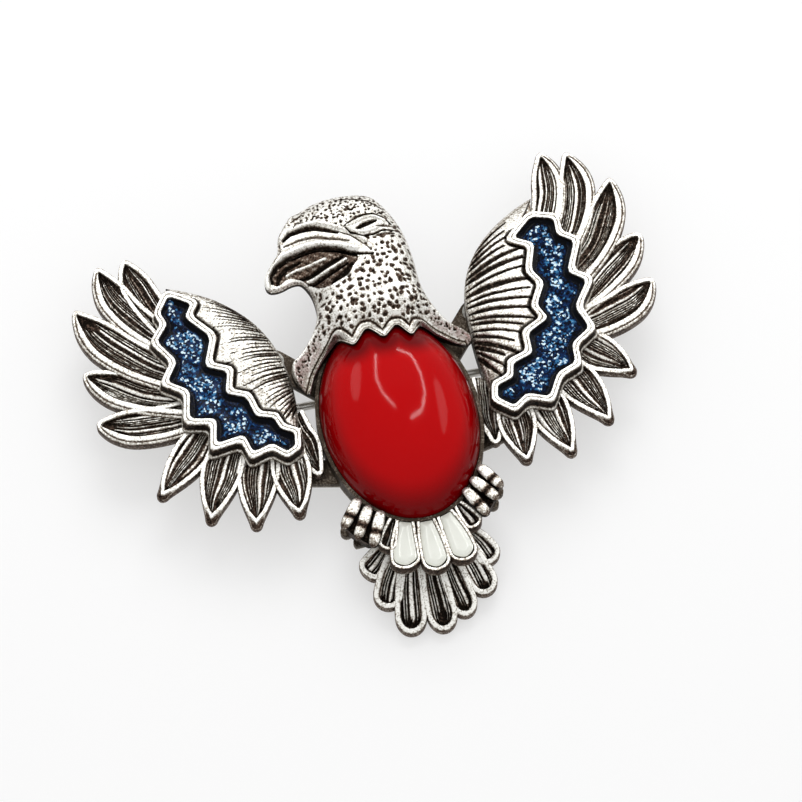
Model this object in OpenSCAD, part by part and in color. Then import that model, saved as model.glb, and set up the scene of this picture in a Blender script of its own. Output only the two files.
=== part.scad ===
// Eagle brooch with a domed stone, enamelled wings and tail, and a hinged pin stem on its back.
// +X is the eagle's width, +Y points to its head, +Z is its face. It lies on its pin side at z = 0.

/* [Stone] */
// Width of the oval stone
stone_w = 18; // [16:0.5:18.4]
// Length of the oval stone
stone_l = 25; // [22:0.5:25.6]
// Height of the stone's straight edge
girdle_h = 1.1; // [0.8:0.1:1.4]
// Height of the dome above that edge
dome_h = 6.8; // [5:0.2:7.4]
// Place of the stone's centre along Y
stone_y = -2.25; // [-2.6:0.05:-2]

/* [Setting] */
// Clear height under the setting
stand_off = 4; // [3.8:0.1:6]
// Thickness of the setting's floor and arms
floor_t = 1; // [0.8:0.1:1.5]
// Wall of the bezel around the stone
bezel_t = 0.4; // [0.3:0.05:0.6]
// Height of the bezel above the stone's straight edge
bezel_lip = 0.5; // [0.3:0.1:0.8]
// Gap between the stone and the metal around it
stone_fit = 0.05; // [0.03:0.01:0.1]
// Thickness of the cement under the stone
cement_t = 0.2; // [0.1:0.05:0.3]
// Width of the arms that carry the wings
arm_w = 3; // [2.4:0.1:3.4]
// Width of the tabs under the head and the rump
tab_w = 5.6; // [4:0.1:6]
// Reach of the tab under the head, past the stone
head_tab_l = 2.2; // [1.8:0.1:3]
// Reach of the tab under the rump, past the bezel
rump_tab_l = 1.3; // [1:0.1:1.6]
// Thickness of the solder between two castings
solder_t = 0.12; // [0.08:0.02:0.2]
// Gap between castings that stand side by side
part_gap = 0.06; // [0.04:0.01:0.1]

/* [Wings] */
// Thickness of the feather plates
feather_t = 1.6; // [1.2:0.1:2.2]
// Width of the raised rim round each feather
feather_rim = 0.7; // [0.5:0.05:0.9]
// Depth of the sunk panel in each feather
feather_sink = 0.45; // [0.2:0.05:0.8]
// Height of the coverts above the feathers
covert_h = 2.1; // [1.6:0.1:2.6]
// Width of the zigzag rim round the enamel
zigzag_rim = 0.85; // [0.7:0.05:1]
// Depth of the well that holds the enamel
well_sink = 1.5; // [1.2:0.1:1.6]
// Depth of the enamel's face below the rim
enamel_sink = 0.8; // [0.4:0.1:1]
// Number of grooves on each covert
covert_grooves = 12; // [6:1:18]

/* [Tail] */
// Thickness of the tail feathers
tail_t = 1.4; // [1:0.1:1.8]
// Slope of the tail feathers towards the floor
tail_slope = 18; // [14:1:20]
// Thickness of the rump plate
rump_t = 1.8; // [1.4:0.1:2.2]
// Depth of the cells in the rump plate
cell_sink = 0.6; // [0.3:0.05:0.9]

/* [Head] */
// Height of the head above the bezel
head_h = 6.1; // [5.6:0.1:7]
// Width of the relief's steps
relief_step = 0.9; // [0.6:0.1:1]
// Wall of the hollow behind the head
head_wall = 1.3; // [1:0.1:1.6]

/* [Talons] */
// Radius of a toe
toe_r = 0.72; // [0.6:0.02:0.78]

/* [Pin] */
// Diameter of the pin stem
stem_d = 1; // [0.8:0.1:1.1]
// Distance from the hinge rivet to the middle of the catch
pin_span = 27; // [26.6:0.1:30]
// Place of the pin along Y
pin_y = 3.65; // [3:0.05:4.2]
// Turn of the pin in the brooch's plane
pin_tilt = -3.2; // [-5:0.1:5]
// Length of the stem past the catch, with its point
stem_over = 3; // [2.6:0.1:3.4]
// Length of the stem's ground point
point_l = 4.6; // [4.5:0.1:5.4]
// Reach of the stem's square neck past the hinge ears
neck_l = 0.4; // [0.3:0.1:1]
// Height of that neck
neck_h = 1.3; // [1.2:0.1:1.6]
// Outer radius of the hinge ears and the catch plates
knuckle_r = 1.6; // [1.5:0.05:1.9]
// Radius of the hinge rivet
rivet_r = 0.5; // [0.4:0.05:0.6]
// Gap between the rivet and the stem's eye
hinge_fit = 0.05; // [0.02:0.01:0.1]
// Thickness of a hinge ear
ear_t = 0.6; // [0.4:0.05:0.8]
// Thickness of the stem's eye
eye_t = 1.2; // [1:0.1:1.4]
// Gap beside the eye and beside the rotor
side_gap = 0.1; // [0.06:0.01:0.15]
// Radius of the foot plates under the wings
foot_r = 2.2; // [2:0.1:2.4]
// Thickness of the foot plates
foot_t = 0.5; // [0.4:0.05:0.8]
// Thickness of a catch plate
catch_t = 0.55; // [0.4:0.05:0.7]
// Thickness of the rotor
rotor_t = 1.3; // [1:0.1:1.6]
// Room round the stem in the catch
catch_room = 0.2; // [0.15:0.05:0.25]
// Gap between the rotor's hub and the catch plates
hub_fit = 0.05; // [0.02:0.01:0.1]
// Reach of the rotor's lever from the stem's middle
lever_reach = 2.9; // [2.4:0.1:3.2]

/* [Hidden] */
$fn = 48;
far = 60;
sliver = 0.02;
cast_reach = 0.1;
oval_sides = 64;
dome_rings = 12;
room_steps = 12;

// Heights of the stacked pieces
cup_top = stand_off + floor_t;
plate_z = cup_top + solder_t;
plate_top = plate_z + feather_t;
covert_top = plate_top + covert_h;
stone_z = cup_top + cement_t;
girdle_z = stone_z + girdle_h;
bezel_z = girdle_z + bezel_lip;
pin_z = knuckle_r;

// The outlines below are drawn around a stone of this size and place, and stretch with the real one
drawn_stone = [18, 25];
drawn_y = -2.25;
stretch = [stone_w / drawn_stone[0], stone_l / drawn_stone[1]];
function fit(p) = [p[0] * stretch[0], (p[1] - drawn_y) * stretch[1] + stone_y];
function fit_all(points) = [for (p = points) fit(p)];
function fit_bars(bars) = [for (b = bars) fit_all(b)];
function fit_feathers(list) = [for (f = list)
  [fit(f[0]), fit(f[1]), f[2] * stretch[0], f[3] * stretch[0], f[4]]];

// One feather: [root, tip, width, sideways bow, sharpness of the tip]
left_feathers = fit_feathers([
  [[-23.4, 17.2], [-25.8, 25.8], 3.0, 0.4, 0.8],
  [[-25.0, 15.9], [-29.0, 25.6], 3.9, 0.9, 0.8],
  [[-25.4, 11.1], [-32.9, 20.9], 4.5, 1.0, 0.8],
  [[-24.8, 7.0], [-33.8, 12.9], 4.2, 0.6, 0.7],
  [[-24.0, 4.4], [-33.8, 6.4], 4.2, 0.7, 0.7],
  [[-22.4, 1.4], [-29.0, -4.4], 3.6, 0, 0.7],
  [[-20.0, -1.0], [-24.1, -8.9], 3.7, -0.2, 0.6],
  [[-16.5, -2.4], [-19.2, -10.9], 3.4, -0.2, 0.6],
  [[-13.5, -3.4], [-14.0, -10.9], 3.0, 0, 0.6],
  [[-11.6, -0.9], [-10.5, -6.5], 2.1, 0, 0.6]]);
right_feathers = fit_feathers([
  [[23.2, 17.6], [25.0, 26.4], 3.3, -0.8, 0.8],
  [[25.6, 15.6], [27.9, 25.6], 3.8, -1.2, 0.8],
  [[26.0, 11.3], [32.1, 21.0], 4.0, -1.0, 0.8],
  [[25.2, 7.2], [33.6, 13.2], 4.0, -0.4, 0.6],
  [[24.6, 3.6], [33.2, 7.2], 4.3, -0.9, 0.65],
  [[22.6, 1.2], [28.0, -3.8], 3.7, 0.2, 0.7],
  [[20.0, -1.4], [23.5, -9.0], 3.8, 0.3, 0.6],
  [[16.4, -3.2], [18.2, -11.7], 3.8, 0, 0.6],
  [[13.0, -4.4], [12.8, -11.3], 3.0, 0, 0.6],
  [[10.7, -2.2], [9.9, -8.1], 2.2, 0, 0.6]]);

// The enamel's zigzag edge on the feather side, from the wing's top to its foot
left_zigzag = fit_all([[-22, 18.8], [-23.4, 17], [-22.9, 15.4], [-24.6, 13.6], [-22.9, 10.6], [-24.6, 8.4],
  [-22.4, 6.7], [-23.3, 3.3], [-20.3, 2.5], [-21.1, -0.5], [-17.8, -0.2], [-17.3, -2.6],
  [-15, -2.1], [-13.6, -3.5], [-12.6, -3.1]]);
right_zigzag = fit_all([[21.4, 17.5], [23.8, 16.6], [23.6, 14.5], [25.3, 13.2], [23.4, 9.6], [25.3, 8],
  [23, 5.1], [23.9, 2.2], [21.4, 0.8], [21.1, -1.6], [18.8, -2.3], [17.1, -4.9],
  [14.7, -3.8], [12.9, -4.9], [11.4, -3.5]]);
// Its edge on the shoulder side, from the foot back to the top
left_ridge = fit_all([[-12.3, -1.6], [-13.7, -0.7], [-14.1, 0.8], [-16, 1.5], [-16.5, 4.1], [-18.7, 5.2],
  [-17.8, 7.8], [-20.2, 9.1], [-18.6, 12.6], [-20.9, 15.7], [-19.8, 17.2]]);
right_ridge = fit_all([[11.8, -2.1], [13.8, -1.6], [14.3, 0.1], [16.8, 0.7], [17, 3.3], [19.8, 4.5],
  [19, 6.5], [20.6, 9], [19.6, 11], [20.9, 14.2], [18.8, 15.5]]);
// The leading edge of the shoulder: its tip, a pull point, its corner, a pull point and its foot
left_lead = fit_all([[-22, 20.6], [-12.2, 16.5], [-11, 7.4], [-10.5, 3], [-11.7, -1.2]]);
right_lead = fit_all([[22.3, 20.6], [11.4, 17], [10.9, 7.6], [10.4, 3], [10.9, -2.3]]);

// Tail feathers and rump cells, in the same form as the wing feathers
tail_feathers = fit_feathers([
  [[-5.0, -16.4], [-8.7, -18.8], 2.8, 0, 0.5],
  [[-4.0, -17.0], [-7.2, -22.7], 3.0, -0.2, 0.5],
  [[-2.8, -17.2], [-5.0, -26.1], 3.1, -0.2, 0.5],
  [[-1.0, -17.0], [-1.2, -26.7], 3.1, 0, 0.5],
  [[0.8, -17.0], [1.8, -25.7], 2.8, 0, 0.5],
  [[2.4, -16.8], [4.8, -23.9], 2.9, 0.2, 0.5],
  [[3.8, -16.4], [6.2, -20.7], 2.8, 0.2, 0.5]]);
rump_cells = fit_feathers([
  [[-3.9, -14.0], [-5.7, -17.2], 1.7, 0, 0.4],
  [[-2.2, -14.2], [-4.0, -20.3], 3.1, -0.3, 0.4],
  [[-0.3, -14.4], [-0.4, -21.4], 2.9, 0, 0.4],
  [[1.6, -14.2], [2.6, -21.1], 2.9, 0.2, 0.4],
  [[3.3, -14.0], [4.9, -17.0], 1.7, 0, 0.4]]);
white_cells = [1, 2, 3];
cell_rim = 0.35;

// Head and neck seen from the front, rounded by smooth(); the last points are the collar's waves
head_points = fit_all([[-10.2, 3.4], [-10.3, 6.4], [-9.2, 7.3], [-7.3, 9.4], [-6.2, 11.2], [-5.7, 13.2],
  [-6.6, 14.5], [-7.8, 15], [-9.8, 14.4], [-11.2, 14.7], [-11.1, 16.4], [-10.1, 17.6],
  [-8.5, 19.2], [-8.1, 21.1], [-6.6, 22.2], [-5.8, 23.9], [-3.2, 24.8], [0, 25], [3.7, 24.3],
  [4.6, 22.4], [5.9, 19.6], [6.2, 16], [6.1, 12.4], [6.9, 10], [8.2, 7.7], [10.3, 6.5], [10.2, 4.4],
  [8.6, 4.4], [7, 5.8], [5.3, 6.7], [3.6, 5.1], [2.5, 7.9], [0.5, 5.3], [-1.3, 8.3], [-3.1, 5.7],
  [-5, 7.6], [-6.6, 6.2], [-8, 4.9], [-9, 3]]);
mouth_points = fit_all([[-10.4, 15.8], [-8.6, 17.6], [-6.4, 18.4], [-3.6, 18.3], [-1, 17.2], [2, 16.1],
  [-0.9, 15.2], [-4, 13.6], [-5.6, 14.8], [-7.6, 15.8]]);
brow_points = fit_all([[-7.4, 20.4], [-5.6, 21.3], [-3.6, 21], [-1.4, 19.7], [-3.4, 20.2], [-5.4, 20.5]]);
eye_at = fit([2.6, 21]);
// Part of the collar that stays at full height, around the stone's middle line
collar_low = fit([-8, drawn_y]);
collar_size = [16 * stretch[0], 9 * stretch[1]];
eye_size = [2.5, 0.9];
slit_size = [1.4, 0.4];
eye_rise = 0.3;
// The head's steps, and the floors of its mouth and brow, as parts of its height
head_steps = [0.4, 0.65, 0.85, 1];
mouth_floor = 0.55;
brow_floor = 0.6;

// One toe: [end at the stone, outer end]
left_toes = fit_bars([[[-7.6, -11.4], [-9.3, -13.4]], [[-6.6, -12.6], [-8.2, -15]],
  [[-5.4, -13.6], [-6.8, -16.3]]]);
right_toes = fit_bars([[[7.4, -11.2], [8.6, -13.2]], [[6.2, -12.4], [7.7, -14.5]],
  [[5.0, -13.5], [6.2, -16]]]);
toe_lift = 0.5;
// The pad stays inside the round toes and ends below their middle
toe_inset = 0.14;
toe_sides = 24;
pad_drop = 0.25;

// Arms under the wings, each from the setting to its end
wing_arms = fit_bars([[[-7, 4], [-12, 9.2]], [[7, 4], [12, 9.2]],
  [[-7, -6.5], [-12.6, -5]], [[7, -6.5], [12.6, -5.6]]]);

stone_head = stone_y + stone_l / 2;
cup_foot = stone_y - stone_l / 2 - stone_fit - bezel_t;
pin_ends = [-pin_span / 2, pin_span / 2];
wing_below = plate_z - pin_z;
foot_z = wing_below - solder_t - foot_t;
eye_wall = 0.75;
eye_r = rivet_r + hinge_fit + eye_wall;
hub_wall = 0.35;
hub_bore = stem_d / 2 + catch_room;
hub_r = hub_bore + hub_wall;
plate_bore = hub_r + hub_fit;
rotor_rim = 0.4;
rotor_r = hub_r + rotor_rim;
lever_t = 0.6;
lever_angle = 25;
rivet_head_r = rivet_r + 0.35;
rivet_head_t = 0.35;

function unit(v) = v / norm(v);
function left_of(v) = [-v[1], v[0]];
function bend(a, pull, b, t) = (1 - t) * (1 - t) * a + 2 * t * (1 - t) * pull + t * t * b;
function bend_points(a, pull, b, n) = [for (i = [0:n]) bend(a, pull, b, i / n)];
function flip(points) = [for (i = [len(points) - 1:-1:0]) points[i]];
function round_once(p) = [for (i = [0:len(p) - 1]) let (q = p[(i + 1) % len(p)])
  each [0.75 * p[i] + 0.25 * q, 0.25 * p[i] + 0.75 * q]];
function smooth(p, times) = times == 0 ? p : smooth(round_once(p), times - 1);
// A bar with round ends, from p to q
function bar(p, q, r) = let (turn = atan2(q[1] - p[1], q[0] - p[0])) concat(
  [for (i = [0:8]) q + r * [cos(turn - 90 + 22.5 * i), sin(turn - 90 + 22.5 * i)]],
  [for (i = [0:8]) p + r * [cos(turn + 90 + 22.5 * i), sin(turn + 90 + 22.5 * i)]]);
function oval(w, l, n) = [for (i = [0:n - 1]) [w / 2 * cos(360 * i / n), l / 2 * sin(360 * i / n)]];

// A feather's outline: a bowed axis, widening from the root and closing in a round or sharp tip
steps = 12;
root_in = 2.5;
open_to = 0.62;
function feather_pull(f) = (f[0] + f[1]) / 2 + left_of(unit(f[1] - f[0])) * 2 * f[3];
function feather_at(i) = i < steps / 2
  ? open_to * 2 * i / steps
  : open_to + (1 - open_to) * sin(90 * (2 * i / steps - 1));
function feather_close(t, sharp) = let (s = max(0, (t - open_to) / (1 - open_to))) pow(1 - s * s, sharp);
function feather_half(f, t) = f[2] / 2 * (0.72 + 0.28 * sin(90 * min(1, t / open_to)))
  * feather_close(t, f[4]);
function feather_start(f, side, inset) = let (ahead = unit(feather_pull(f) - f[0]))
  f[0] - ahead * (root_in - inset) + side * left_of(ahead) * max(sliver, feather_half(f, 0) - inset);
function feather_side(f, side, inset) = [for (i = [0:steps]) let (
    t = feather_at(i),
    reach = 1 - 1.5 * inset / norm(f[1] - f[0]),
    pull = feather_pull(f),
    ahead = bend(f[0], pull, f[1], t * reach + 0.01) - bend(f[0], pull, f[1], t * reach - 0.01))
  bend(f[0], pull, f[1], t * reach)
    + side * left_of(unit(ahead)) * max(sliver, feather_half(f, t) - inset)];
function feather_outline(f, inset) = concat([feather_start(f, 1, inset)], feather_side(f, 1, inset),
  flip(feather_side(f, -1, inset)), [feather_start(f, -1, inset)]);
function leading_edge(lead) = concat(bend_points(lead[0], lead[1], lead[2], 12),
  bend_points(lead[2], lead[3], lead[4], 6));

// Casting fills gaps and loses slivers narrower than twice this reach
module cast_outline() offset(delta = cast_reach) offset(delta = -2 * cast_reach)
  offset(delta = cast_reach) children();
module prism(z0, z1) translate([0, 0, z0]) linear_extrude(z1 - z0) children();
module stone_oval(grow) translate([0, stone_y])
  polygon(oval(stone_w + 2 * grow, stone_l + 2 * grow, oval_sides));
module cup_oval(grow) stone_oval(stone_fit + bezel_t + grow);

// Size of the dome's level slice at a rise of turn degrees, and that slice's height
module dome_slice(turn, grow) translate([0, stone_y])
  polygon(oval(stone_w * cos(turn) + 2 * grow, stone_l * cos(turn) + 2 * grow, oval_sides));
function dome_z(turn, grow) = girdle_z + (dome_h + grow) * sin(turn);

module cabochon() color("darkred") hull() {
  prism(stone_z, girdle_z) stone_oval(0);
  for (i = [1:dome_rings]) let (turn = 90 * i / dome_rings - 1)
    prism(dome_z(turn, 0) - sliver, dome_z(turn, 0)) dome_slice(turn, 0);
}

// Room for the stone, in steps, where other pieces lie over it
module stone_room(grow) {
  prism(stone_z, girdle_z) stone_oval(grow);
  for (i = [0:room_steps - 1]) let (turn = 90 * i / room_steps, next = 90 * (i + 1) / room_steps)
    prism(dome_z(turn, grow) - (i == 0 ? grow : 0), dome_z(next, grow)) dome_slice(turn, grow);
}

module cabochon_cement() color("beige") prism(cup_top, stone_z) stone_oval(0);

module rump_tab(grow) translate([-tab_w / 2 - grow, cup_foot - rump_tab_l - grow])
  square([tab_w + 2 * grow, rump_tab_l + 1 + grow]);
module head_tab() translate([-tab_w / 2, stone_head - 1]) square([tab_w, head_tab_l + 1]);

module back_cup() color("darkgray") {
  prism(stand_off, cup_top) {
    cup_oval(0);
    for (arm = wing_arms) polygon(bar(arm[0], arm[1], arm_w / 2));
    rump_tab(0);
    head_tab();
    toe_rest(left_toes);
    toe_rest(right_toes);
  }
  difference() {
    prism(cup_top, bezel_z) cup_oval(0);
    prism(cup_top - 1, bezel_z + 1) stone_oval(stone_fit);
  }
}

module well(zigzag, ridge, grow) offset(delta = grow) polygon(concat(zigzag, ridge));
module shoulder(ridge, lead) polygon(concat(leading_edge(lead), ridge));
module covert_shape(zigzag, ridge, lead) difference() {
  union() {
    well(zigzag, ridge, zigzag_rim);
    shoulder(ridge, lead);
  }
  cup_oval(part_gap);
}

module wing(feathers, zigzag, ridge, lead) difference() {
  prism(plate_z, plate_top) difference() {
    cast_outline() {
      for (f = feathers) polygon(feather_outline(f, 0));
      covert_shape(zigzag, ridge, lead);
    }
    cup_oval(part_gap);
  }
  prism(plate_top - feather_sink, plate_top + 1) difference() {
    for (f = feathers) polygon(feather_outline(f, feather_rim));
    covert_shape(zigzag, ridge, lead);
  }
}

// Fine grooves run from the leading edge to the inner zigzag
module grooves(ridge, lead) for (i = [1:covert_grooves]) {
  t = i / (covert_grooves + 1);
  start = bend(lead[0], lead[1], lead[2], 0.15 + 0.85 * t);
  goal = ridge[round((0.85 - 0.6 * t) * (len(ridge) - 1))];
  along = unit(goal - start);
  across = left_of(along) * 0.15;
  a = start + along * 0.8;
  b = start + along * min(norm(goal - start) - 1.6, 5);
  prism(covert_top - 0.35, covert_top + 1) polygon([a + across, b + across, b - across, a - across]);
}

module covert(zigzag, ridge, lead) difference() {
  union() {
    prism(plate_top, plate_top + covert_h / 2) covert_shape(zigzag, ridge, lead);
    prism(plate_top + covert_h / 2, covert_top) intersection() {
      covert_shape(zigzag, ridge, lead);
      union() {
        well(zigzag, ridge, zigzag_rim);
        offset(delta = -0.7) shoulder(ridge, lead);
      }
    }
  }
  prism(covert_top - well_sink, covert_top + 1) well(zigzag, ridge, 0);
  grooves(ridge, lead);
}

module enamel(zigzag, ridge)
  prism(covert_top - well_sink, covert_top - enamel_sink) well(zigzag, ridge, -sliver);

module left_wing() color("silver") wing(left_feathers, left_zigzag, left_ridge, left_lead);
module right_wing() color("silver") wing(right_feathers, right_zigzag, right_ridge, right_lead);
module left_covert() color("gainsboro") covert(left_zigzag, left_ridge, left_lead);
module right_covert() color("gainsboro") covert(right_zigzag, right_ridge, right_lead);
module left_wing_enamel() color("navy") enamel(left_zigzag, left_ridge);
module right_wing_enamel() color("navy") enamel(right_zigzag, right_ridge);

// The tail plate slopes from the rump plate's underside down to the floor at its longest feather
tail_tip = min([for (f = tail_feathers) f[1][1]]);
tail_root = cup_foot - 0.8;
tail_run = (tail_root - tail_tip) / cos(tail_slope);
tail_drop = tail_run * sin(tail_slope) + tail_t * cos(tail_slope);
module on_tail_plane() translate([0, tail_root, tail_drop]) rotate([tail_slope, 0, 0])
  translate([0, -tail_root]) children();
function on_slope(p) = [p[0], tail_root + (p[1] - tail_root) / cos(tail_slope)];
function sloped(f) = [on_slope(f[0]), on_slope(f[1]), f[2], f[3], f[4]];

module below_root() translate([-far / 2, tail_root - far]) square(far);
module tail_fan() color("silver") difference() {
  on_tail_plane() difference() {
    prism(-tail_t, 0) cast_outline() intersection() {
      union() {
        for (f = tail_feathers) polygon(feather_outline(sloped(f), 0));
        translate([-4.6 * stretch[0], tail_root - 3]) square([8.6 * stretch[0], 3]);
      }
      below_root();
    }
    prism(-feather_sink, 1) for (f = tail_feathers) polygon(feather_outline(sloped(f), feather_rim));
  }
  prism(stand_off - tail_t, cup_top + tail_t) rump_tab(part_gap);
}

// Solder fills the wedge between the sloping tail plate and the rump plate above it
module tail_solder() difference() {
  prism(stand_off, plate_z) translate([-tab_w / 2, cup_foot - rump_tab_l - 1.4]) square([tab_w, 1.2]);
  on_tail_plane() prism(-far, 0) below_root();
}

module rump_shape() cast_outline() difference() {
  union() {
    for (f = rump_cells) polygon(feather_outline(f, 0));
    translate([-4 * stretch[0], cup_foot - 2.2]) square([7.6 * stretch[0], 2.6]);
  }
  cup_oval(part_gap);
  toe_pads(left_toes, part_gap);
  toe_pads(right_toes, part_gap);
}

module rump_cell(f, grow) intersection() {
  polygon(feather_outline(f, cell_rim + grow));
  offset(delta = -cell_rim - grow) rump_shape();
}

module rump_fan() color("silver") difference() {
  prism(plate_z, plate_z + rump_t) rump_shape();
  prism(plate_z + rump_t - cell_sink, plate_z + rump_t + 1) for (f = rump_cells) rump_cell(f, 0);
}

module tail_enamel() color("ivory")
  for (i = white_cells) prism(plate_z + rump_t - cell_sink, plate_z + rump_t - 0.1)
    rump_cell(rump_cells[i], sliver);

// Three toes on one pad grip the edge of the stone's setting
module toe_pads(toes, grow) {
  for (t = toes) polygon(bar(t[0], t[1], toe_r + grow));
  polygon(bar((toes[0][0] + toes[0][1]) / 2, (toes[2][0] + toes[2][1]) / 2, toe_r + grow));
}
// The cup's floor carries the toes as far as the tail's root
module toe_rest(toes) difference() {
  toe_pads(toes, 0);
  translate([0, tail_t * sin(tail_slope) + part_gap]) below_root();
}
module toe(t) hull() for (end = t)
  translate([end[0], end[1], bezel_z + toe_lift]) sphere(toe_r, $fn = toe_sides);
module talon(toes) difference() {
  union() {
    prism(plate_z, bezel_z + toe_lift - pad_drop) toe_pads(toes, -toe_inset);
    for (t = toes) toe(t);
  }
  prism(plate_z - 1, bezel_z + part_gap) cup_oval(part_gap);
  prism(bezel_z, far) stone_oval(part_gap);
}
module left_talon() color("silver") talon(left_toes);
module right_talon() color("silver") talon(right_toes);

// Head, neck and collar rise in steps, and the collar is cut to lie on the stone
function head_z(part) = bezel_z + head_h * part;
module head_shape() polygon(smooth(head_points, 2));
module head_step(inset) cast_outline() intersection() {
  head_shape();
  offset(delta = -inset) union() {
    head_shape();
    translate(collar_low) square(collar_size);
  }
}
module head() color("silver") difference() {
  union() {
    prism(bezel_z, head_z(head_steps[0])) head_shape();
    for (i = [1:3]) prism(head_z(head_steps[i - 1]), head_z(head_steps[i])) head_step(i * relief_step);
    prism(plate_z, bezel_z) difference() {
      head_tab();
      cup_oval(part_gap);
    }
    translate(eye_at) prism(head_z(head_steps[0]), head_z(1) + eye_rise)
      polygon(oval(eye_size[0] * 2, eye_size[1] * 2, 32));
  }
  stone_room(part_gap);
  prism(bezel_z - 1, head_z(head_steps[0])) intersection() {
    offset(delta = -head_wall) head_shape();
    translate([-far / 2, stone_head + head_tab_l]) square(far);
  }
  prism(head_z(mouth_floor), far) polygon(smooth(mouth_points, 2));
  prism(head_z(brow_floor), far) polygon(smooth(brow_points, 2));
  translate(eye_at) prism(head_z(1) - 0.1, far)
    polygon(oval(slit_size[0] * 2, slit_size[1] * 2, 24));
}

// Pin stem, hinge and catch share one line across the back
module on_pin_line() translate([0, pin_y, pin_z]) rotate([0, 0, pin_tilt]) children();
module at_hinge() on_pin_line() translate([pin_ends[0], 0, 0]) children();
module at_catch() on_pin_line() translate([pin_ends[1], 0, 0]) children();
module along_y(length) rotate([90, 0, 0]) translate([0, 0, -length / 2]) children();
module along_x(length) rotate([0, 90, 0]) translate([0, 0, -length / 2]) children();
module foot() translate([0, 0, foot_z]) cylinder(foot_t, foot_r, foot_r);

module hinge_ear() difference() {
  union() {
    along_y(ear_t) cylinder(ear_t, knuckle_r, knuckle_r);
    translate([-knuckle_r, -ear_t / 2, 0]) cube([2 * knuckle_r, ear_t, foot_z + foot_t / 2]);
  }
  along_y(2) cylinder(2, rivet_r, rivet_r);
}
ear_y = eye_t / 2 + side_gap + ear_t / 2;
module pin_hinge() color("dimgray") at_hinge() {
  foot();
  for (side = [-1, 1]) translate([0, side * ear_y, 0]) hinge_ear();
}

rivet_l = 2 * ear_y + ear_t;
module hinge_rivet() color("lightgray") at_hinge() {
  along_y(rivet_l) cylinder(rivet_l, rivet_r, rivet_r);
  for (side = [-1, 1]) translate([0, side * (rivet_l + rivet_head_t) / 2, 0])
    along_y(rivet_head_t) cylinder(rivet_head_t, rivet_head_r, rivet_head_r);
}

wire_l = pin_span + stem_over - point_l;
module pin_stem() color("lightgray") at_hinge() difference() {
  union() {
    along_y(eye_t) cylinder(eye_t, eye_r, eye_r);
    translate([0, -eye_t / 2, -neck_h / 2]) cube([knuckle_r + neck_l, eye_t, neck_h]);
    rotate([0, 90, 0]) cylinder(wire_l, stem_d / 2, stem_d / 2);
    translate([wire_l, 0, 0]) rotate([0, 90, 0]) cylinder(point_l, stem_d / 2, stem_d / 12);
  }
  along_y(2) cylinder(2, rivet_r + hinge_fit, rivet_r + hinge_fit);
}

module catch_plate() difference() {
  union() {
    along_x(catch_t) cylinder(catch_t, knuckle_r, knuckle_r);
    translate([-catch_t / 2, -knuckle_r * 0.8, 0]) cube([catch_t, knuckle_r * 1.6, foot_z + foot_t / 2]);
  }
  along_x(2) cylinder(2, plate_bore, plate_bore);
  translate([-1, -hub_bore, -2 * knuckle_r]) cube([2, 2 * hub_bore, 2 * knuckle_r]);
}
catch_x = rotor_t / 2 + side_gap + catch_t / 2;
module pin_catch() color("dimgray") at_catch() {
  foot();
  for (side = [-1, 1]) translate([side * catch_x, 0, 0]) catch_plate();
}

hub_l = 2 * catch_x + catch_t;
module catch_rotor() color("lightgray") at_catch() difference() {
  union() {
    along_x(rotor_t) cylinder(rotor_t, rotor_r, rotor_r);
    along_x(hub_l) cylinder(hub_l, hub_r, hub_r);
    rotate([-lever_angle, 0, 0])
      translate([-rotor_t / 2, -lever_reach, -lever_t / 2]) cube([rotor_t, lever_reach, lever_t]);
  }
  along_x(far) cylinder(far, hub_bore, hub_bore);
  translate([-hub_l, -hub_bore, -2 * rotor_r]) cube([2 * hub_l, 2 * hub_bore, 2 * rotor_r]);
}

module solder_joints() color("dimgray") {
  for (arm = wing_arms) translate(arm[1]) prism(cup_top, plate_z) circle(arm_w * 0.4);
  translate([0, stone_head + head_tab_l * 0.6]) prism(cup_top, plate_z) circle(head_tab_l * 0.3);
  translate([0, cup_foot - rump_tab_l * 0.6]) prism(cup_top, plate_z) circle(rump_tab_l * 0.3);
  tail_solder();
  for (toes = [left_toes, right_toes]) translate((toes[1][0] + toes[1][1]) / 2)
    prism(cup_top, plate_z) circle(toe_r * 0.8);
  for (x = pin_ends) on_pin_line() translate([x, 0, wing_below - solder_t])
    cylinder(solder_t, foot_r * 0.8, foot_r * 0.8);
}

back_cup();
cabochon();
cabochon_cement();
head();
left_wing();
right_wing();
left_covert();
right_covert();
left_wing_enamel();
right_wing_enamel();
tail_fan();
rump_fan();
tail_enamel();
left_talon();
right_talon();
solder_joints();
pin_hinge();
hinge_rivet();
pin_stem();
pin_catch();
catch_rotor();
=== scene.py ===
import math

import bpy
import numpy as np
from mathutils import Matrix, Vector
from mathutils.geometry import delaunay_2d_cdt


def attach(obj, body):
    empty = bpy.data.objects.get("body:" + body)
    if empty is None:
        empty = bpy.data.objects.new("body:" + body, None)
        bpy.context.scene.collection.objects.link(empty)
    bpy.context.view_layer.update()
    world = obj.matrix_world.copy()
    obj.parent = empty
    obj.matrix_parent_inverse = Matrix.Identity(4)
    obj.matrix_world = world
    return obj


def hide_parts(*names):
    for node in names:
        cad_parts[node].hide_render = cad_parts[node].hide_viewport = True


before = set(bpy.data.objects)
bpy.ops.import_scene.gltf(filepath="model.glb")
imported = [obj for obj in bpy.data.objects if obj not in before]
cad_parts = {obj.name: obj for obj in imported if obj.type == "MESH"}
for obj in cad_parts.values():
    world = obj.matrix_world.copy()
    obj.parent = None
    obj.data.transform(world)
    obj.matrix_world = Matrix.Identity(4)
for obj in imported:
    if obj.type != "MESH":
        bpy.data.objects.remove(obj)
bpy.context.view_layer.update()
mm = 0.001  # lengths below are in millimetres, and turn to metres as a mesh is made
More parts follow.
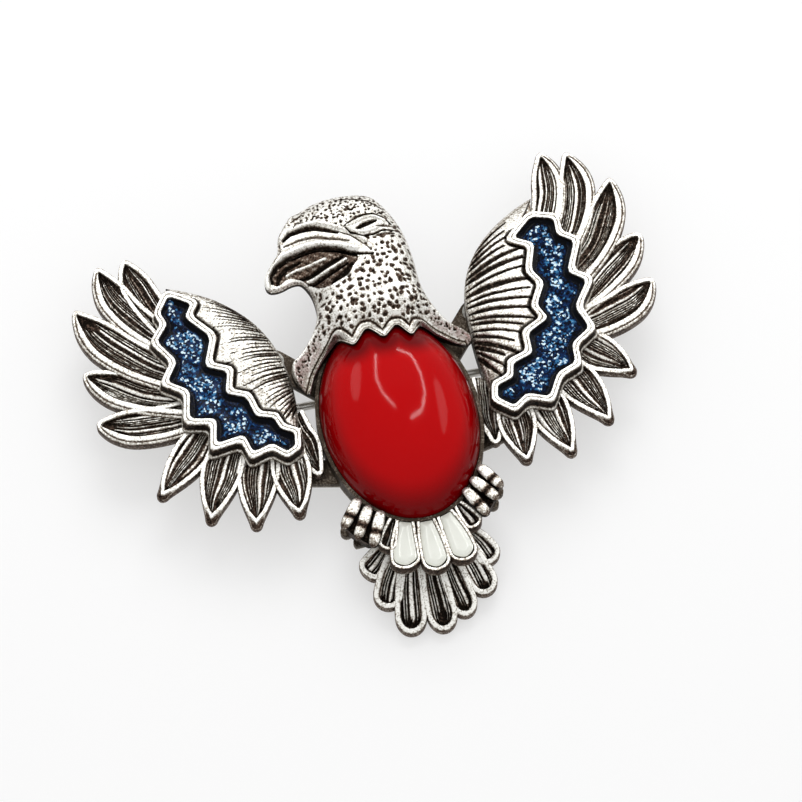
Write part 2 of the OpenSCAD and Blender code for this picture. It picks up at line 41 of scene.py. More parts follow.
plateZ, plateTop, covertTop, bezelZ, floorZ = 5.12, 6.72, 8.82, 6.8, 4.0  # levels of the castings
stone = {"centre": np.array([0, -2.25]), "half": np.array([9.0, 12.5]), "bottom": 5.2,
         "girdle": 6.3, "dome": 6.8, "wall": 0.45, "rings": 40, "sides": 160}


# shapes drawn in plan
def unit(v):
    return v / np.linalg.norm(v)


def leftOf(v):
    return np.array([-v[1], v[0]])


def rise(a, b, x):
    t = np.clip((x - a) / (b - a), 0, 1)
    return t * t * (3 - 2 * t)


def bend(a, pull, b, t):
    t = np.asarray(t, float)[:, None]
    a, pull, b = np.array(a, float), np.array(pull, float), np.array(b, float)
    return (1 - t) ** 2 * a + 2 * t * (1 - t) * pull + t * t * b


def cutCorners(points, times, share=0.25, closed=True):
    p = np.array(points, float)
    for _ in range(times):
        a, b = (p, np.roll(p, -1, axis=0)) if closed else (p[:-1], p[1:])
        cut = np.stack([a * (1 - share) + b * share, a * share + b * (1 - share)], 1).reshape(-1, 2)
        p = cut if closed else np.vstack([p[:1], cut, p[-1:]])
    return p


def resample(line, spacing, closed=False):
    line = np.array(line, float)
    if closed:
        line = np.vstack([line, line[:1]])
    lengths = np.r_[0, np.cumsum(np.linalg.norm(np.diff(line, axis=0), axis=1))]
    count = max(3, int(round(lengths[-1] / spacing)))
    at = np.linspace(0, lengths[-1], count + 1)
    if closed:
        at = at[:-1]
    return np.stack([np.interp(at, lengths, line[:, k]) for k in (0, 1)], 1)


def distanceTo(points, line, closed=False, width=None):
    # distance from each point to a line, and with width the lowest share of it, for tapered strokes
    line = np.array(line, float)
    if closed:
        line = np.vstack([line, line[:1]])
    best = np.full(len(points), 1e9)
    for k in range(len(line) - 1):
        a, run = line[k], line[k + 1] - line[k]
        size = run @ run
        if size < 1e-12:
            continue
        t = np.clip((points - a) @ run / size, 0, 1)
        d = np.hypot(*(points - a - t[:, None] * run).T)
        if width is not None:
            d = d / np.maximum(width[k] + t * (width[k + 1] - width[k]), 1e-3)
        best = np.minimum(best, d)
    return best


def inside(points, loop):
    x, y = points.T
    hit = np.zeros(len(points), bool)
    for (ax, ay), (bx, by) in zip(loop, np.roll(loop, -1, axis=0)):
        if ay != by:
            hit ^= ((ay > y) != (by > y)) & (x < (bx - ax) * (y - ay) / (by - ay) + ax)
    return hit


def turned(loop):
    x, y = np.array(loop).T
    area = np.sum(x * np.roll(y, -1) - y * np.roll(x, -1))
    return np.array(loop) if area > 0 else np.array(loop)[::-1]


def grown(loop, distance, limit=2.2):
    # the loop moved outwards by distance, with its corners kept
    loop = turned(loop)
    ahead = np.roll(loop, -1, axis=0) - loop
    ahead /= np.linalg.norm(ahead, axis=1)[:, None]
    out = np.stack([ahead[:, 1], -ahead[:, 0]], 1)
    both = out + np.roll(out, 1, axis=0)
    both /= np.maximum(np.linalg.norm(both, axis=1), 1e-6)[:, None]
    reach = np.minimum(1 / np.maximum(np.sum(both * out, axis=1), 1e-3), limit)
    return loop + both * (reach * distance)[:, None]


def domeZ(points, grow=0.0):
    r = np.sum(((points - stone["centre"]) / (stone["half"] + grow)) ** 2, axis=1)
    return stone["girdle"] + (stone["dome"] + grow) * np.sqrt(np.clip(1 - r, 0, 1))


def outOfCup(points, gap=0.06):
    # points under the bezel's outline move out to it
    half = stone["half"] + stone["wall"] + gap
    away = points - stone["centre"]
    r = np.sqrt(np.sum((away / half) ** 2, axis=1))
    return np.where((r < 1)[:, None], stone["centre"] + away / np.maximum(r, 1e-3)[:, None], points)


# from shapes to meshes
def joined(shells):
    points, faces, wash, start = [], [], [], 0
    for p, f, w in shells:
        points.append(p)
        wash.append(w)
        faces += [tuple(i + start for i in face) for face in f]
        start += len(p)
    return np.vstack(points), faces, np.concatenate(wash)


def addPiece(name, shell, material, slot="antique_silver", stands=(), sharp=38):
    points, faces, wash = shell
    mesh = bpy.data.meshes.new(name)
    mesh.from_pydata((points * mm).tolist(), [], faces)
    mesh.update()
    # the wash is patina on silver, with painted shade in places; on the stone and the enamels it is painted
    # shade along edges and walls
    patinaAndShade = mesh.attributes.new("wash", "FLOAT", "POINT")  # 0 polished crest, 1 dark recess
    patinaAndShade.data.foreach_set("value", np.asarray(wash, np.float32))
    mesh.shade_smooth()
    mesh.set_sharp_from_angle(angle=math.radians(sharp))
    mesh.materials.append(material)
    if slot == "antique_silver":  # the side that isn't seen when worn is plain
        mesh.materials.append(silverBack)
        for face in mesh.polygons:
            face.material_index = int(face.normal.z < -0.1)
    piece = bpy.data.objects.new(name, mesh)
    bpy.context.scene.collection.objects.link(piece)
    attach(piece, "brooch")
    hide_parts(*stands)


def netOf(ring, step):
    # triangles that fill a ring of points, on a staggered net of the given step
    low, high = ring.min(0), ring.max(0)
    rows = np.arange(low[1] + step / 2, high[1], step * 0.866)
    net = [np.zeros((0, 2))]
    for k, y in enumerate(rows):
        x = np.arange(low[0] + (k % 2) * step / 2, high[0], step)
        net.append(np.stack([x, np.full(len(x), y)], 1))
    net = np.vstack(net)
    net = net[inside(net, ring)]
    net = net[distanceTo(net, ring, True) > 0.5 * step]
    points = np.vstack([ring, net])
    out = delaunay_2d_cdt([Vector(p) for p in points.tolist()], [], [list(range(len(ring)))], 1, 1e-6)
    place = {}
    for k, sources in enumerate(out[3]):
        for source in sources:
            place[source] = k
    return np.array([tuple(v) for v in out[0]]), out[2], [place[k] for k in range(len(ring))]


def relief(loop, step, top, under, underStep=0.6, spacing=None):
    # a casting with a modelled face over its outline, a wall round it and its own back
    ring = turned(resample(loop, spacing or step, True))
    plan, faces, rim = netOf(ring, step)
    height, wash = top(plan, distanceTo(plan, ring, True))
    backPlan, backFaces, backRim = netOf(ring, underStep)
    backHeight = under(backPlan, distanceTo(backPlan, ring, True))
    n, m, r = len(plan), len(backPlan), len(ring)
    upper, lower = np.c_[plan, height][rim], np.c_[backPlan, backHeight][backRim]
    points = np.vstack([np.c_[plan, height], np.c_[backPlan, backHeight], upper, lower])
    allFaces = [tuple(f) for f in faces] + [tuple(n + i for i in reversed(f)) for f in backFaces]
    for k in range(r):
        j = (k + 1) % r
        allFaces.append((n + m + r + k, n + m + r + j, n + m + j, n + m + k))
    return points, allFaces, np.r_[wash, np.full(m, 0.45), np.full(r, 0.75), np.full(r, 0.9)]


def flat(z, wash=None):
    # a level face for relief(), with its wash where it is the top one
    def face(plan, d):
        height = np.full(len(plan), z)
        return height if wash is None else (height, np.full(len(plan), wash))
    return face


def tubeFaces(n, m):
    # the faces between m rings of n points
    return [(k * n + i, k * n + (i + 1) % n, (k + 1) * n + (i + 1) % n, (k + 1) * n + i)
            for k in range(m - 1) for i in range(n)]


def sweep(loop, profile):
    # a closed wall: each profile entry is how far out from the loop, its height and its wash
    rings = [cutCorners(grown(loop, out), 3, 0.13) for out, _, _ in profile]
    rings = [np.c_[ring, np.full(len(ring), z)] for ring, (_, z, _) in zip(rings, profile)]
    n, m = len(rings[0]), len(profile)
    faces = []
    for k in range(m):
        for i in range(n):
            a, b = k * n + i, k * n + (i + 1) % n
            c, d = ((k + 1) % m) * n + (i + 1) % n, ((k + 1) % m) * n + i
            faces.append((a, d, c, b))
    return np.vstack(rings), faces, np.repeat([w for _, _, w in profile], n)


# materials
def linear(colour):
    parts = [int(colour[i:i + 2], 16) / 255 for i in (1, 3, 5)]
    return tuple(c / 12.92 if c <= 0.04045 else ((c + 0.055) / 1.055) ** 2.4 for c in parts) + (1.0,)


def add(tree, kind, inputs=(), **settings):
    # adds a shader node: settings are its properties, and inputs maps a socket to a value, to an output of
    # another node, or to a node, which stands for its first output
    node = tree.nodes.new("ShaderNode" + kind)
    for name, value in settings.items():
        setattr(node, name, value)
    for socket, value in dict(inputs).items():
        if isinstance(value, bpy.types.Node):
            value = value.outputs[0]
        if isinstance(value, bpy.types.NodeSocket):
            tree.links.new(value, node.inputs[socket])
        else:
            node.inputs[socket].default_value = value
    return node


def newMaterial(name):
    material = bpy.data.materials.new(name)
    material.use_nodes = True
    tree = material.node_tree
    tree.nodes.clear()
    coords = add(tree, "TexCoord")
    return material, tree, coords.outputs["Object"]


def ramp(tree, factor, stops):
    node = add(tree, "ValToRGB", {"Fac": factor})
    row = node.color_ramp.elements
    while len(row) < len(stops):
        row.new(0.5)
    for element, (at, colour) in zip(row, stops):
        element.position = at
        element.color = linear(colour) if isinstance(colour, str) else (colour, colour, colour, 1)
    return node.outputs["Color"]


def surface(tree, **inputs):
    shader = add(tree, "BsdfPrincipled", {k.replace("_", " "): v for k, v in inputs.items()})
    add(tree, "OutputMaterial", {"Surface": shader})


# zinc alloy, cast, plated with silver and darkened, then tumbled: crests shine and hollows stay black
silverLook = {"crest": "#efeee9", "slope": "#a8a297", "brown": "#57473d", "pit": "#110e0b",
              "mottle": 0.7, "grain": 0.21, "mottleShare": 0.9, "grainShare": 1.7,
              "crestRough": 0.48, "pitRough": 0.6, "calm": 0.6}
# the same casting where it isn't polished: an even, duller grey-brown
backLook = dict(silverLook, crest="#d6d3cb", slope="#a39e94", brown="#7b7267", pit="#3d352d",
                mottle=2.2, grain=0.3, mottleShare=0.8, grainShare=0.45, wash=0.42)
cupLook = dict(backLook, grain=0.22, grainShare=1.2, bezelWash=0.92, bezelFoot=0.1, bezelFull=0.5)


def castSilver(name, look):
    # wash runs from 0, a polished crest, to 1, a dark hollow: the mesh gives it, or the look for a plain back
    material, tree, at = newMaterial(name)
    mottle = add(tree, "TexNoise", {"Vector": at, "Scale": 1 / (look["mottle"] * mm), "Detail": 4.0,
                                    "Roughness": 0.6})
    grain = add(tree, "TexNoise", {"Vector": at, "Scale": 1 / (look["grain"] * mm), "Detail": 2.0})
    both = add(tree, "Math", {0: grain, 1: look["grainShare"], 2: mottle}, operation="MULTIPLY_ADD")
    centre = -0.5 * look["mottleShare"] * (1 + look["grainShare"])
    spread = add(tree, "Math", {0: both, 1: look["mottleShare"], 2: centre}, operation="MULTIPLY_ADD")
    if "wash" in look:
        wash = add(tree, "Math", {0: spread, 1: look["wash"]})
    else:
        wash = add(tree, "Attribute", attribute_name="wash").outputs["Fac"]
        # the grain is calmer in hollows
        calm = add(tree, "MapRange", {0: wash, 1: 0.3, 2: 0.85, 3: 1.0, 4: look["calm"]})
        wash = add(tree, "Math", {0: calm, 1: spread, 2: wash}, operation="MULTIPLY_ADD")
    if "bezelWash" in look:  # the bezel is darker than the cup's back
        height = add(tree, "SeparateXYZ", {"Vector": at})
        up = add(tree, "MapRange", {0: height.outputs["Z"], 1: (floorZ + look["bezelFoot"]) * mm,
                                    2: (floorZ + look["bezelFull"]) * mm, 3: 0.0,
                                    4: look["bezelWash"] - look["wash"]})
        wash = add(tree, "Math", {0: wash, 1: up})
    colour = ramp(tree, wash, [(0.0, look["crest"]), (0.3, look["slope"]), (0.6, look["brown"]),
                               (0.92, look["pit"])])
    rough = add(tree, "MapRange", {0: wash, 1: 0.0, 2: 1.0, 3: look["crestRough"], 4: look["pitRough"]})
    bump = add(tree, "Bump", {"Height": both, "Strength": 0.7, "Distance": 0.03 * mm})
    surface(tree, Base_Color=colour, Metallic=1.0, Roughness=rough, Normal=bump)
    return material


# epoxy enamel with glitter, poured: near-black navy full of bright blue specks
# the flakes are drawn 0.24 mm across, where the real ones are taken to be 0.2, so that they show
# the blues are the flakes' own colour; the palest, near white, is a painted glint, since the flakes are flat
# colour and not metal
glitterLook = {"depth": "#01030a", "navy": "#06142f", "flakes": ["#0d2e5c", "#3f83b4", "#dcf3ff"],
               "flake": 0.24, "drift": 1.5, "rough": 0.22, "specular": 0.06}


def glitterEnamel(name, look=glitterLook):
    material, tree, at = newMaterial(name)
    cells = add(tree, "TexVoronoi", {"Vector": at, "Scale": 1 / (look["flake"] * mm)})
    tone = add(tree, "SeparateColor", {"Color": cells.outputs["Color"]})
    drift = add(tree, "TexNoise", {"Vector": at, "Scale": 1 / (look["drift"] * mm), "Detail": 2.0})
    shore = add(tree, "Attribute", attribute_name="wash").outputs["Fac"]
    # shore is painted shade along the well's walls, negative in the patch of brighter flakes; drift is the
    # flakes' own uneven spread
    thick = add(tree, "Math", {0: drift, 1: shore}, operation="SUBTRACT")
    lift = add(tree, "MapRange", {0: thick, 1: -0.1, 2: 0.55, 3: -0.8, 4: 0.16})
    pick = add(tree, "Math", {0: tone.outputs[0], 1: lift})
    colour = ramp(tree, pick, [(0.0, look["depth"]),
                               (0.4, look["navy"])] + list(zip((0.7, 0.9, 1.0), look["flakes"])))
    tilt = add(tree, "Bump", {"Height": tone.outputs[1], "Strength": 0.5, "Distance": 0.05 * mm})
    surface(tree, Base_Color=colour, Roughness=look["rough"], IOR=1.5, Normal=tilt,
            Specular_IOR_Level=look["specular"])
    return material


# polyester resin, cast in a polished mould: opaque signal red under a clear gloss
resinLook = {"deep": "#6a0003", "red": "#b60004", "cloud": 9.0, "ripple": 2.5, "rough": 0.09,
             "specular": 0.085}


def redResin(name, look=resinLook):
    material, tree, at = newMaterial(name)
    cloud = add(tree, "TexNoise", {"Vector": at, "Scale": 1 / (look["cloud"] * mm), "Detail": 2.0})
    # the wash here is painted shade: the red deepens towards the stone's edge and under the collar
    edge = add(tree, "Attribute", attribute_name="wash").outputs["Fac"]
    mixed = add(tree, "Math", {0: cloud, 1: 0.25, 2: edge}, operation="MULTIPLY_ADD")
    colour = ramp(tree, mixed, [(0.1, look["red"]), (0.95, look["deep"])])
    ripple = add(tree, "TexNoise", {"Vector": at, "Scale": 1 / (look["ripple"] * mm), "Detail": 1.0})
    bump = add(tree, "Bump", {"Height": ripple, "Strength": 0.06, "Distance": 0.05 * mm})
    surface(tree, Base_Color=colour, Roughness=look["rough"], IOR=1.5, Normal=bump,
            Specular_IOR_Level=look["specular"])
    return material


# hard enamel, poured and cured: ivory white with a soft gloss and faint clouds
whiteLook = {"white": "#e9ebe2", "shade": "#c9cabd", "cloud": 1.1}


def whiteEnamel(name, look=whiteLook):
    material, tree, at = newMaterial(name)
    cloud = add(tree, "TexNoise", {"Vector": at, "Scale": 1 / (look["cloud"] * mm), "Detail": 3.0})
    # shore is painted shade along each cell's edge; the clouds are the enamel's own
    shore = add(tree, "Attribute", attribute_name="wash").outputs["Fac"]
    mixed = add(tree, "Math", {0: cloud, 1: 0.4, 2: shore}, operation="MULTIPLY_ADD")
    colour = ramp(tree, mixed, [(0.2, look["white"]), (0.95, look["shade"])])
    surface(tree, Base_Color=colour, Roughness=0.2, IOR=1.5)
    return material


# nickel-plated steel, drawn and cut: bright, with fine lines along its length
wireLook = {"tint": "#d5d3cf", "dark": "#8b8780", "rough": 0.24, "stretch": (1, 14, 14), "streak": 1.6}
# the same steel, stamped: a little duller, with shorter lines
stampedLook = dict(wireLook, tint="#c4c1ba", dark="#7a766d", rough=0.3, stretch=(6, 6, 2))


def nickelSteel(name, look):
    material, tree, at = newMaterial(name)
    lines = add(tree, "Mapping", {"Vector": at, "Scale": look["stretch"]})
    streak = add(tree, "TexNoise", {"Vector": lines, "Scale": 1 / (look["streak"] * mm), "Detail": 3.0})
    colour = ramp(tree, streak, [(0.25, look["dark"]), (0.6, look["tint"])])
    shine = add(tree, "MapRange", {0: streak, 3: look["rough"] + 0.14, 4: look["rough"] - 0.06})
    bump = add(tree, "Bump", {"Height": streak, "Strength": 0.2, "Distance": 0.01 * mm})
    surface(tree, Base_Color=colour, Metallic=1.0, Roughness=shine, Normal=bump)
    return material


# tin solder, melted and frozen: dull grey with a fine wrinkle
solderLook = {"tint": "#a5a49f", "dark": "#5d5b56", "wrinkle": 0.5}


def softSolder(name, look=solderLook):
    material, tree, at = newMaterial(name)
    wrinkle = add(tree, "TexNoise", {"Vector": at, "Scale": 1 / (look["wrinkle"] * mm), "Detail": 4.0})
    colour = ramp(tree, wrinkle, [(0.3, look["dark"]), (0.65, look["tint"])])
    bump = add(tree, "Bump", {"Height": wrinkle, "Strength": 0.5, "Distance": 0.04 * mm})
    surface(tree, Base_Color=colour, Metallic=1.0, Roughness=0.48, Normal=bump)
    return material


# epoxy cement, spread and cured: a cloudy cream film
cementLook = {"tint": "#d8cfb4", "dark": "#b7ab8a", "cloud": 1.2}


def epoxyCement(name, look=cementLook):
    material, tree, at = newMaterial(name)
    cloud = add(tree, "TexNoise", {"Vector": at, "Scale": 1 / (look["cloud"] * mm), "Detail": 3.0})
    colour = ramp(tree, cloud, [(0.3, look["dark"]), (0.7, look["tint"])])
    surface(tree, Base_Color=colour, Roughness=0.45, IOR=1.5)
    return material


silver = castSilver("cast_antique_silver", silverLook)
silverBack = castSilver("cast_silver_back", backLook)
cupSilver = castSilver("cast_silver_cup", cupLook)
navy = glitterEnamel("poured_navy_glitter_enamel")
red = redResin("moulded_red_resin")
ivory = whiteEnamel("poured_white_enamel")
wire = nickelSteel("drawn_nickel_steel_wire", wireLook)
stamped = nickelSteel("stamped_nickel_steel", stampedLook)
solder = softSolder("melted_tin_solder")
cement = epoxyCement("spread_epoxy_cement")
print("materials made")


# feathers of the wings, and of the tail and rump too
def halfWidth(t, width, sharp, look):
    s = np.clip((t - look["open"]) / (1 - look["open"]), 0, 1)
    opened = np.sin(math.pi / 2 * np.clip(t / look["open"], 0, 1))
    return width / 2 * (look["rootShare"] + (1 - look["rootShare"]) * opened) * (1 - s * s) ** sharp


def featherLine(f, t):
    # the bowed middle line of a feather at each t, the way along it, the way across it, and its length
    root, tip, bow = np.array(f[0], float), np.array(f[1], float), f[3]
    pull = (root + tip) / 2 + leftOf(unit(tip - root)) * 2 * bow
    length = np.linalg.norm(tip - root)
    axis = bend(root, pull, tip, np.clip(t, 0, 1)) + np.minimum(t, 0)[:, None] * unit(pull - root) * length
    along = np.gradient(axis, axis=0)
    along /= np.linalg.norm(along, axis=1)[:, None]
    return axis, along, np.stack([-along[:, 1], along[:, 0]], 1), length


# each feather: root, tip, width, bow, sharpness, side with a double edge (-1, 0 or 1), and how far its V rim
# is set back from its tip
def featherShell(f, look, seed, level, lie=None):
    width, sharp = f[2], f[4]
    doubled, setBack = (list(f[5:]) + [0, 0])[:2]
    u = np.linspace(0, 1, look["rows"])
    t = np.r_[np.linspace(-look["tuck"], -0.1, 4) if look["tuck"] else [], 1 - (1 - u) ** 1.7]
    t[-1] = 0.9996  # just short of the tip, so that the last row keeps a width
    axis, along, side, length = featherLine(f, t)
    blunt = look["blunt"]
    toTip = np.clip((1 - t) * length, 0, blunt)
    half = np.sqrt(halfWidth(t, width, sharp, look) ** 2 + np.maximum(blunt ** 2 - (blunt - toTip) ** 2, 0))
    c = np.linspace(-1, 1, look["columns"])
    rimZone = np.minimum(look["rim"] + 0.42, 0.56 * half)[:, None]
    q = np.where(np.abs(c) > 0.55, np.sign(c) * (half[:, None] - (1 - np.abs(c)) / 0.45 * rimZone),
                 c / 0.55 * (half[:, None] - rimZone))
    plan = axis[:, None] + side[:, None] * q[..., None]
    edge = np.vstack([plan[:, 0], plan[::-1, -1]])
    d = distanceTo(plan.reshape(-1, 2), edge).reshape(q.shape)
    tt = np.broadcast_to(t[:, None], q.shape)
    lateral = q / np.maximum(half[:, None], 0.05)
    # the rim's middle line lies further in along a double edge and towards a set-back tip
    middle = np.full(q.shape, look["rim"] / 2)
    if doubled:
        middle = middle + 0.55 * rise(0.05, 0.5, lateral * doubled) * rise(1.0, 0.8, tt)
    if setBack:
        middle = middle + setBack * rise(0.72, 1.0, tt) ** 1.2
    outer = np.clip(d / np.maximum(middle - 0.16, 0.06), 0, 1)
    inner = rise(look["rim"] * 0.32, look["rim"] * 0.32 + 0.24, d - middle)
    z = level - 0.2 * (1 - rise(0, 0.5, outer)) - look["sink"] * inner
    wash = look["rimWash"] + 0.62 * (1 - rise(0.02, 0.17, d)) + 0.1 * (1 - rise(0, 0.6, outer))
    if setBack:
        slope = rise(0.72, 0.95, tt) * (1 - rise(0.75, 1.0, outer))
        z = z - 0.42 * slope
        wash = np.maximum(wash, slope * (0.78 - 0.6 * (1 - rise(0.05, 0.16, d))))
    if doubled:
        line = rise(0.05, 0.5, lateral * doubled) * rise(1.0, 0.9, tt) * np.exp(-((d - 0.4) / 0.1) ** 2)
        z = z - 0.12 * line
        wash = wash + 0.75 * line
    # fine barbs run lengthwise in the sunk panel
    room = np.maximum(half[:, None] - middle - look["rim"] * 0.4, 0.1)
    rng = np.random.default_rng(seed)
    drift = 0.12 * np.sin(2.2 * tt + rng.uniform(0, 6)) + 0.05 * np.sin(9 * tt + rng.uniform(0, 6))
    across = q / room + drift
    barbs = max(2, round(width / look["barb"]))
    across = across + 0.13 * np.sin(across * 5.3 + rng.uniform(0, 6))
    wave = 0.5 + 0.5 * np.cos(math.pi * barbs * across)
    which = np.round(barbs * across / 2 + 0.5 * (barbs % 2)).astype(int)
    strength = rng.uniform(look["even"], 1.0, 40)[which % 40]
    ends = rng.uniform(*look["ends"], 40)[which % 40]
    wave = wave * strength * rise(0, 0.12, ends - tt) * rise(0, 0.25, tt - look["starts"]) * inner
    z = z + look["barbRise"] * wave
    panel = look["dark"] - 0.95 * rise(0.2, 0.62, wave)
    wash = np.where(inner > 0.02, wash * (1 - inner) + inner * panel, wash)
    wash = np.maximum(wash, 0.9 * np.exp(-((d - middle - look["rim"] * 0.5 - 0.08) / 0.1) ** 2))
    z = z + look["cup"] * (1 - lateral ** 2) - look["droop"] * np.clip(tt, 0, 1) ** 2
    rows, cols = q.shape
    plan = outOfCup(plan.reshape(-1, 2))
    back = outOfCup(np.vstack([edge[:rows], edge[rows:][::-1]]))
    # neighbours' backs lie at different heights: where two share a plane they shade black
    low = np.full(len(back), level - look["thick"] + 0.005 * (seed % 10))
    points = np.vstack([np.c_[plan, z.reshape(-1)], np.c_[back, low]])
    if lie is not None:
        points[:, 2] += lie(points)
    at = np.arange(rows * cols).reshape(rows, cols)
    n = rows * cols
    faces = [(at[i + 1, j], at[i + 1, j + 1], at[i, j + 1], at[i, j])
             for i in range(rows - 1) for j in range(cols - 1)]
    faces += [(n + i + 1, at[i + 1, 0], at[i, 0], n + i) for i in range(rows - 1)]
    faces += [(at[i + 1, cols - 1], n + rows + i + 1, n + rows + i, at[i, cols - 1])
              for i in range(rows - 1)]
    faces += [(n + rows + i, n + rows + i + 1, n + i + 1, n + i) for i in range(rows - 1)]
    faces.append(tuple(at[0]) + (n + rows, n))
    faces.append(tuple(at[rows - 1][::-1]) + (n + rows - 1, n + 2 * rows - 1))
    return points, faces, np.r_[np.clip(wash, -0.2, 1).reshape(-1), np.full(2 * rows, 0.55)]


# rim, barb and blunt are widths, sink, barbRise, thick, cup and droop are heights, and dark and rimWash are
# washes. As shares of the length, tuck is how far it runs in under the covert, starts and ends are where its
# barbs do so, and open is where it has its full width. even is how alike barbs are, rootShare the root's width
longLook = {"rows": 60, "columns": 75, "rim": 0.6, "sink": 0.5, "tuck": 0.42, "barb": 0.5, "barbRise": 0.26,
            "blunt": 0.42, "even": 0.36, "rimWash": 0.02, "ends": (0.66, 0.98), "starts": -1.0,
            "dark": 0.9, "thick": 1.5, "cup": 0.12, "droop": 0.3, "open": 0.5, "rootShare": 0.95}
shortLook = dict(longLook, rim=0.56, open=0.22, rootShare=0.9, blunt=0.65, barb=0.55, barbRise=0.3,
                 dark=0.85, even=0.42, sink=0.42, rimWash=-0.05)
# lead, zigzag and ridge outline the shoulder and its well; grooves fan out over the shoulder; long counts
# the long feathers
leftWing = {
    "feathers": [[[-23.4, 17.2], [-25.8, 25.8], 3.9, .4, .8], [[-25, 15.9], [-29, 25.6], 4.3, .9, .8, 1],
                 [[-25.4, 11.1], [-32.9, 20.9], 4.9, 1, .8, 1], [[-24.8, 7], [-33.7, 12.9], 4.6, .6, .7, 1],
                 [[-24, 4.4], [-33.7, 6.4], 4.6, .7, .7, 1],
                 [[-22.4, 1.4], [-29, -4.4], 4.2, 0, 1.15, 0, .5],
                 [[-20, -1], [-24.1, -8.9], 4.7, -.2, 1.15, 0, .7],
                 [[-16.5, -2.4], [-19.2, -10.9], 4.8, -.2, 1.15, 0, .7],
                 [[-13.5, -3.4], [-14, -10.9], 4.5, 0, 1.15, 0, .6],
                 [[-11.6, -.9], [-10.5, -6.5], 3.6, 0, 1.2]],
    "long": 5,
    "zigzag": [[-22, 18.8], [-23.4, 17], [-22.9, 15.4], [-24.6, 13.6], [-22.9, 10.6], [-24.6, 8.4],
               [-22.4, 6.7], [-23.3, 3.3], [-20.3, 2.5], [-21.1, -.5], [-17.8, -.2], [-17.3, -2.6],
               [-15, -2.1],
               [-13.6, -3.5], [-12.6, -3.1]],
    "ridge": [[-12.3, -1.6], [-13.7, -.7], [-14.1, .8], [-16, 1.5], [-16.5, 4.1], [-18.7, 5.2], [-17.8, 7.8],
              [-20.2, 9.1], [-18.6, 12.6], [-20.9, 15.7], [-19.8, 17.2]],
    "lead": [[-22, 20.6], [-12.2, 16.5], [-11, 7.4], [-10.5, 3], [-11.7, -1.2]],
    "grooves": 36, "fan": (0.3, 0.88), "reach": 0.82, "thin": 0.12, "cut": 0.2, "lowerShade": 0.1,
    "clump": [-22.1, 18.1], "seed": 11}
rightWing = {
    "feathers": [[[23.2, 17.6], [25, 26.4], 4.0, -.8, .8, -1],
                 [[25.6, 15.6], [27.9, 25.6], 4.3, -1.2, .8, -1],
                 [[26, 11.3], [32.1, 21], 4.6, -1, .8, -1], [[25.2, 7.2], [33.5, 13.2], 4.5, -.4, .65, -1],
                 [[24.6, 3.6], [33.2, 7.2], 4.7, -.9, .7, -1],
                 [[22.6, 1.2], [28, -3.8], 4.7, .2, 1.15, 0, .5],
                 [[20, -1.4], [23.5, -9], 4.8, .3, 1.15, 0, .4],
                 [[16.4, -3.2], [18.2, -11.7], 4.8, 0, 1.15, 0, .4],
                 [[13, -4.4], [12.8, -11.3], 4.4, 0, 1.15, 0, .4], [[10.7, -2.2], [9.9, -8.1], 3.6, 0, 1.2]],
    "long": 5,
    "zigzag": [[21.4, 17.5], [23.8, 16.6], [23.6, 14.5], [25.3, 13.2], [23.4, 9.6], [25.3, 8], [23, 5.1],
               [23.9, 2.2], [21.4, .8], [21.1, -1.6], [18.8, -2.3], [17.1, -4.9], [14.7, -3.8], [12.9, -4.9],
               [11.4, -3.5]],
    "ridge": [[11.8, -2.1], [13.8, -1.6], [14.3, .1], [16.8, .7], [17, 3.3], [19.8, 4.5], [19, 6.5],
              [20.6, 9],
              [19.6, 11], [20.9, 14.2], [18.8, 15.5]],
    "lead": [[22.3, 20.6], [11.4, 17], [10.9, 7.6], [10.4, 3], [10.9, -2.3]],
    "grooves": 19, "fan": (0.34, 0.84), "reach": 1.0, "thin": 0.5, "cut": 0.45, "lowerShade": 0.14,
    "clump": [20.6, 14.6], "seed": 23}
# heights of the shoulder, its well and the enamel in it; swell, crown, cut and step are rises and falls
covert = {"edge": 6.85, "swell": 1.62, "crown": 0.35, "cut": 0.2, "step": 0.5, "wallFoot": 6.45,
          "wallRoot": 7.2,
          "panTop": 7.3, "panUnder": 6.5, "fillUnder": 7.31, "fillTop": 7.98}


def leadLine(wing):
    a, pull, b, pull2, c = wing["lead"]
    return np.vstack([bend(a, pull, b, np.linspace(0, 1, 40)), bend(b, pull2, c, np.linspace(0, 1, 16))[1:]])


def wellLoop(wing):
    return turned(wing["zigzag"] + wing["ridge"])


def atShare(line, share):
    lengths = np.r_[0, np.cumsum(np.linalg.norm(np.diff(line, axis=0), axis=1))]
    return np.array([np.interp(share * lengths[-1], lengths, line[:, k]) for k in (0, 1)])


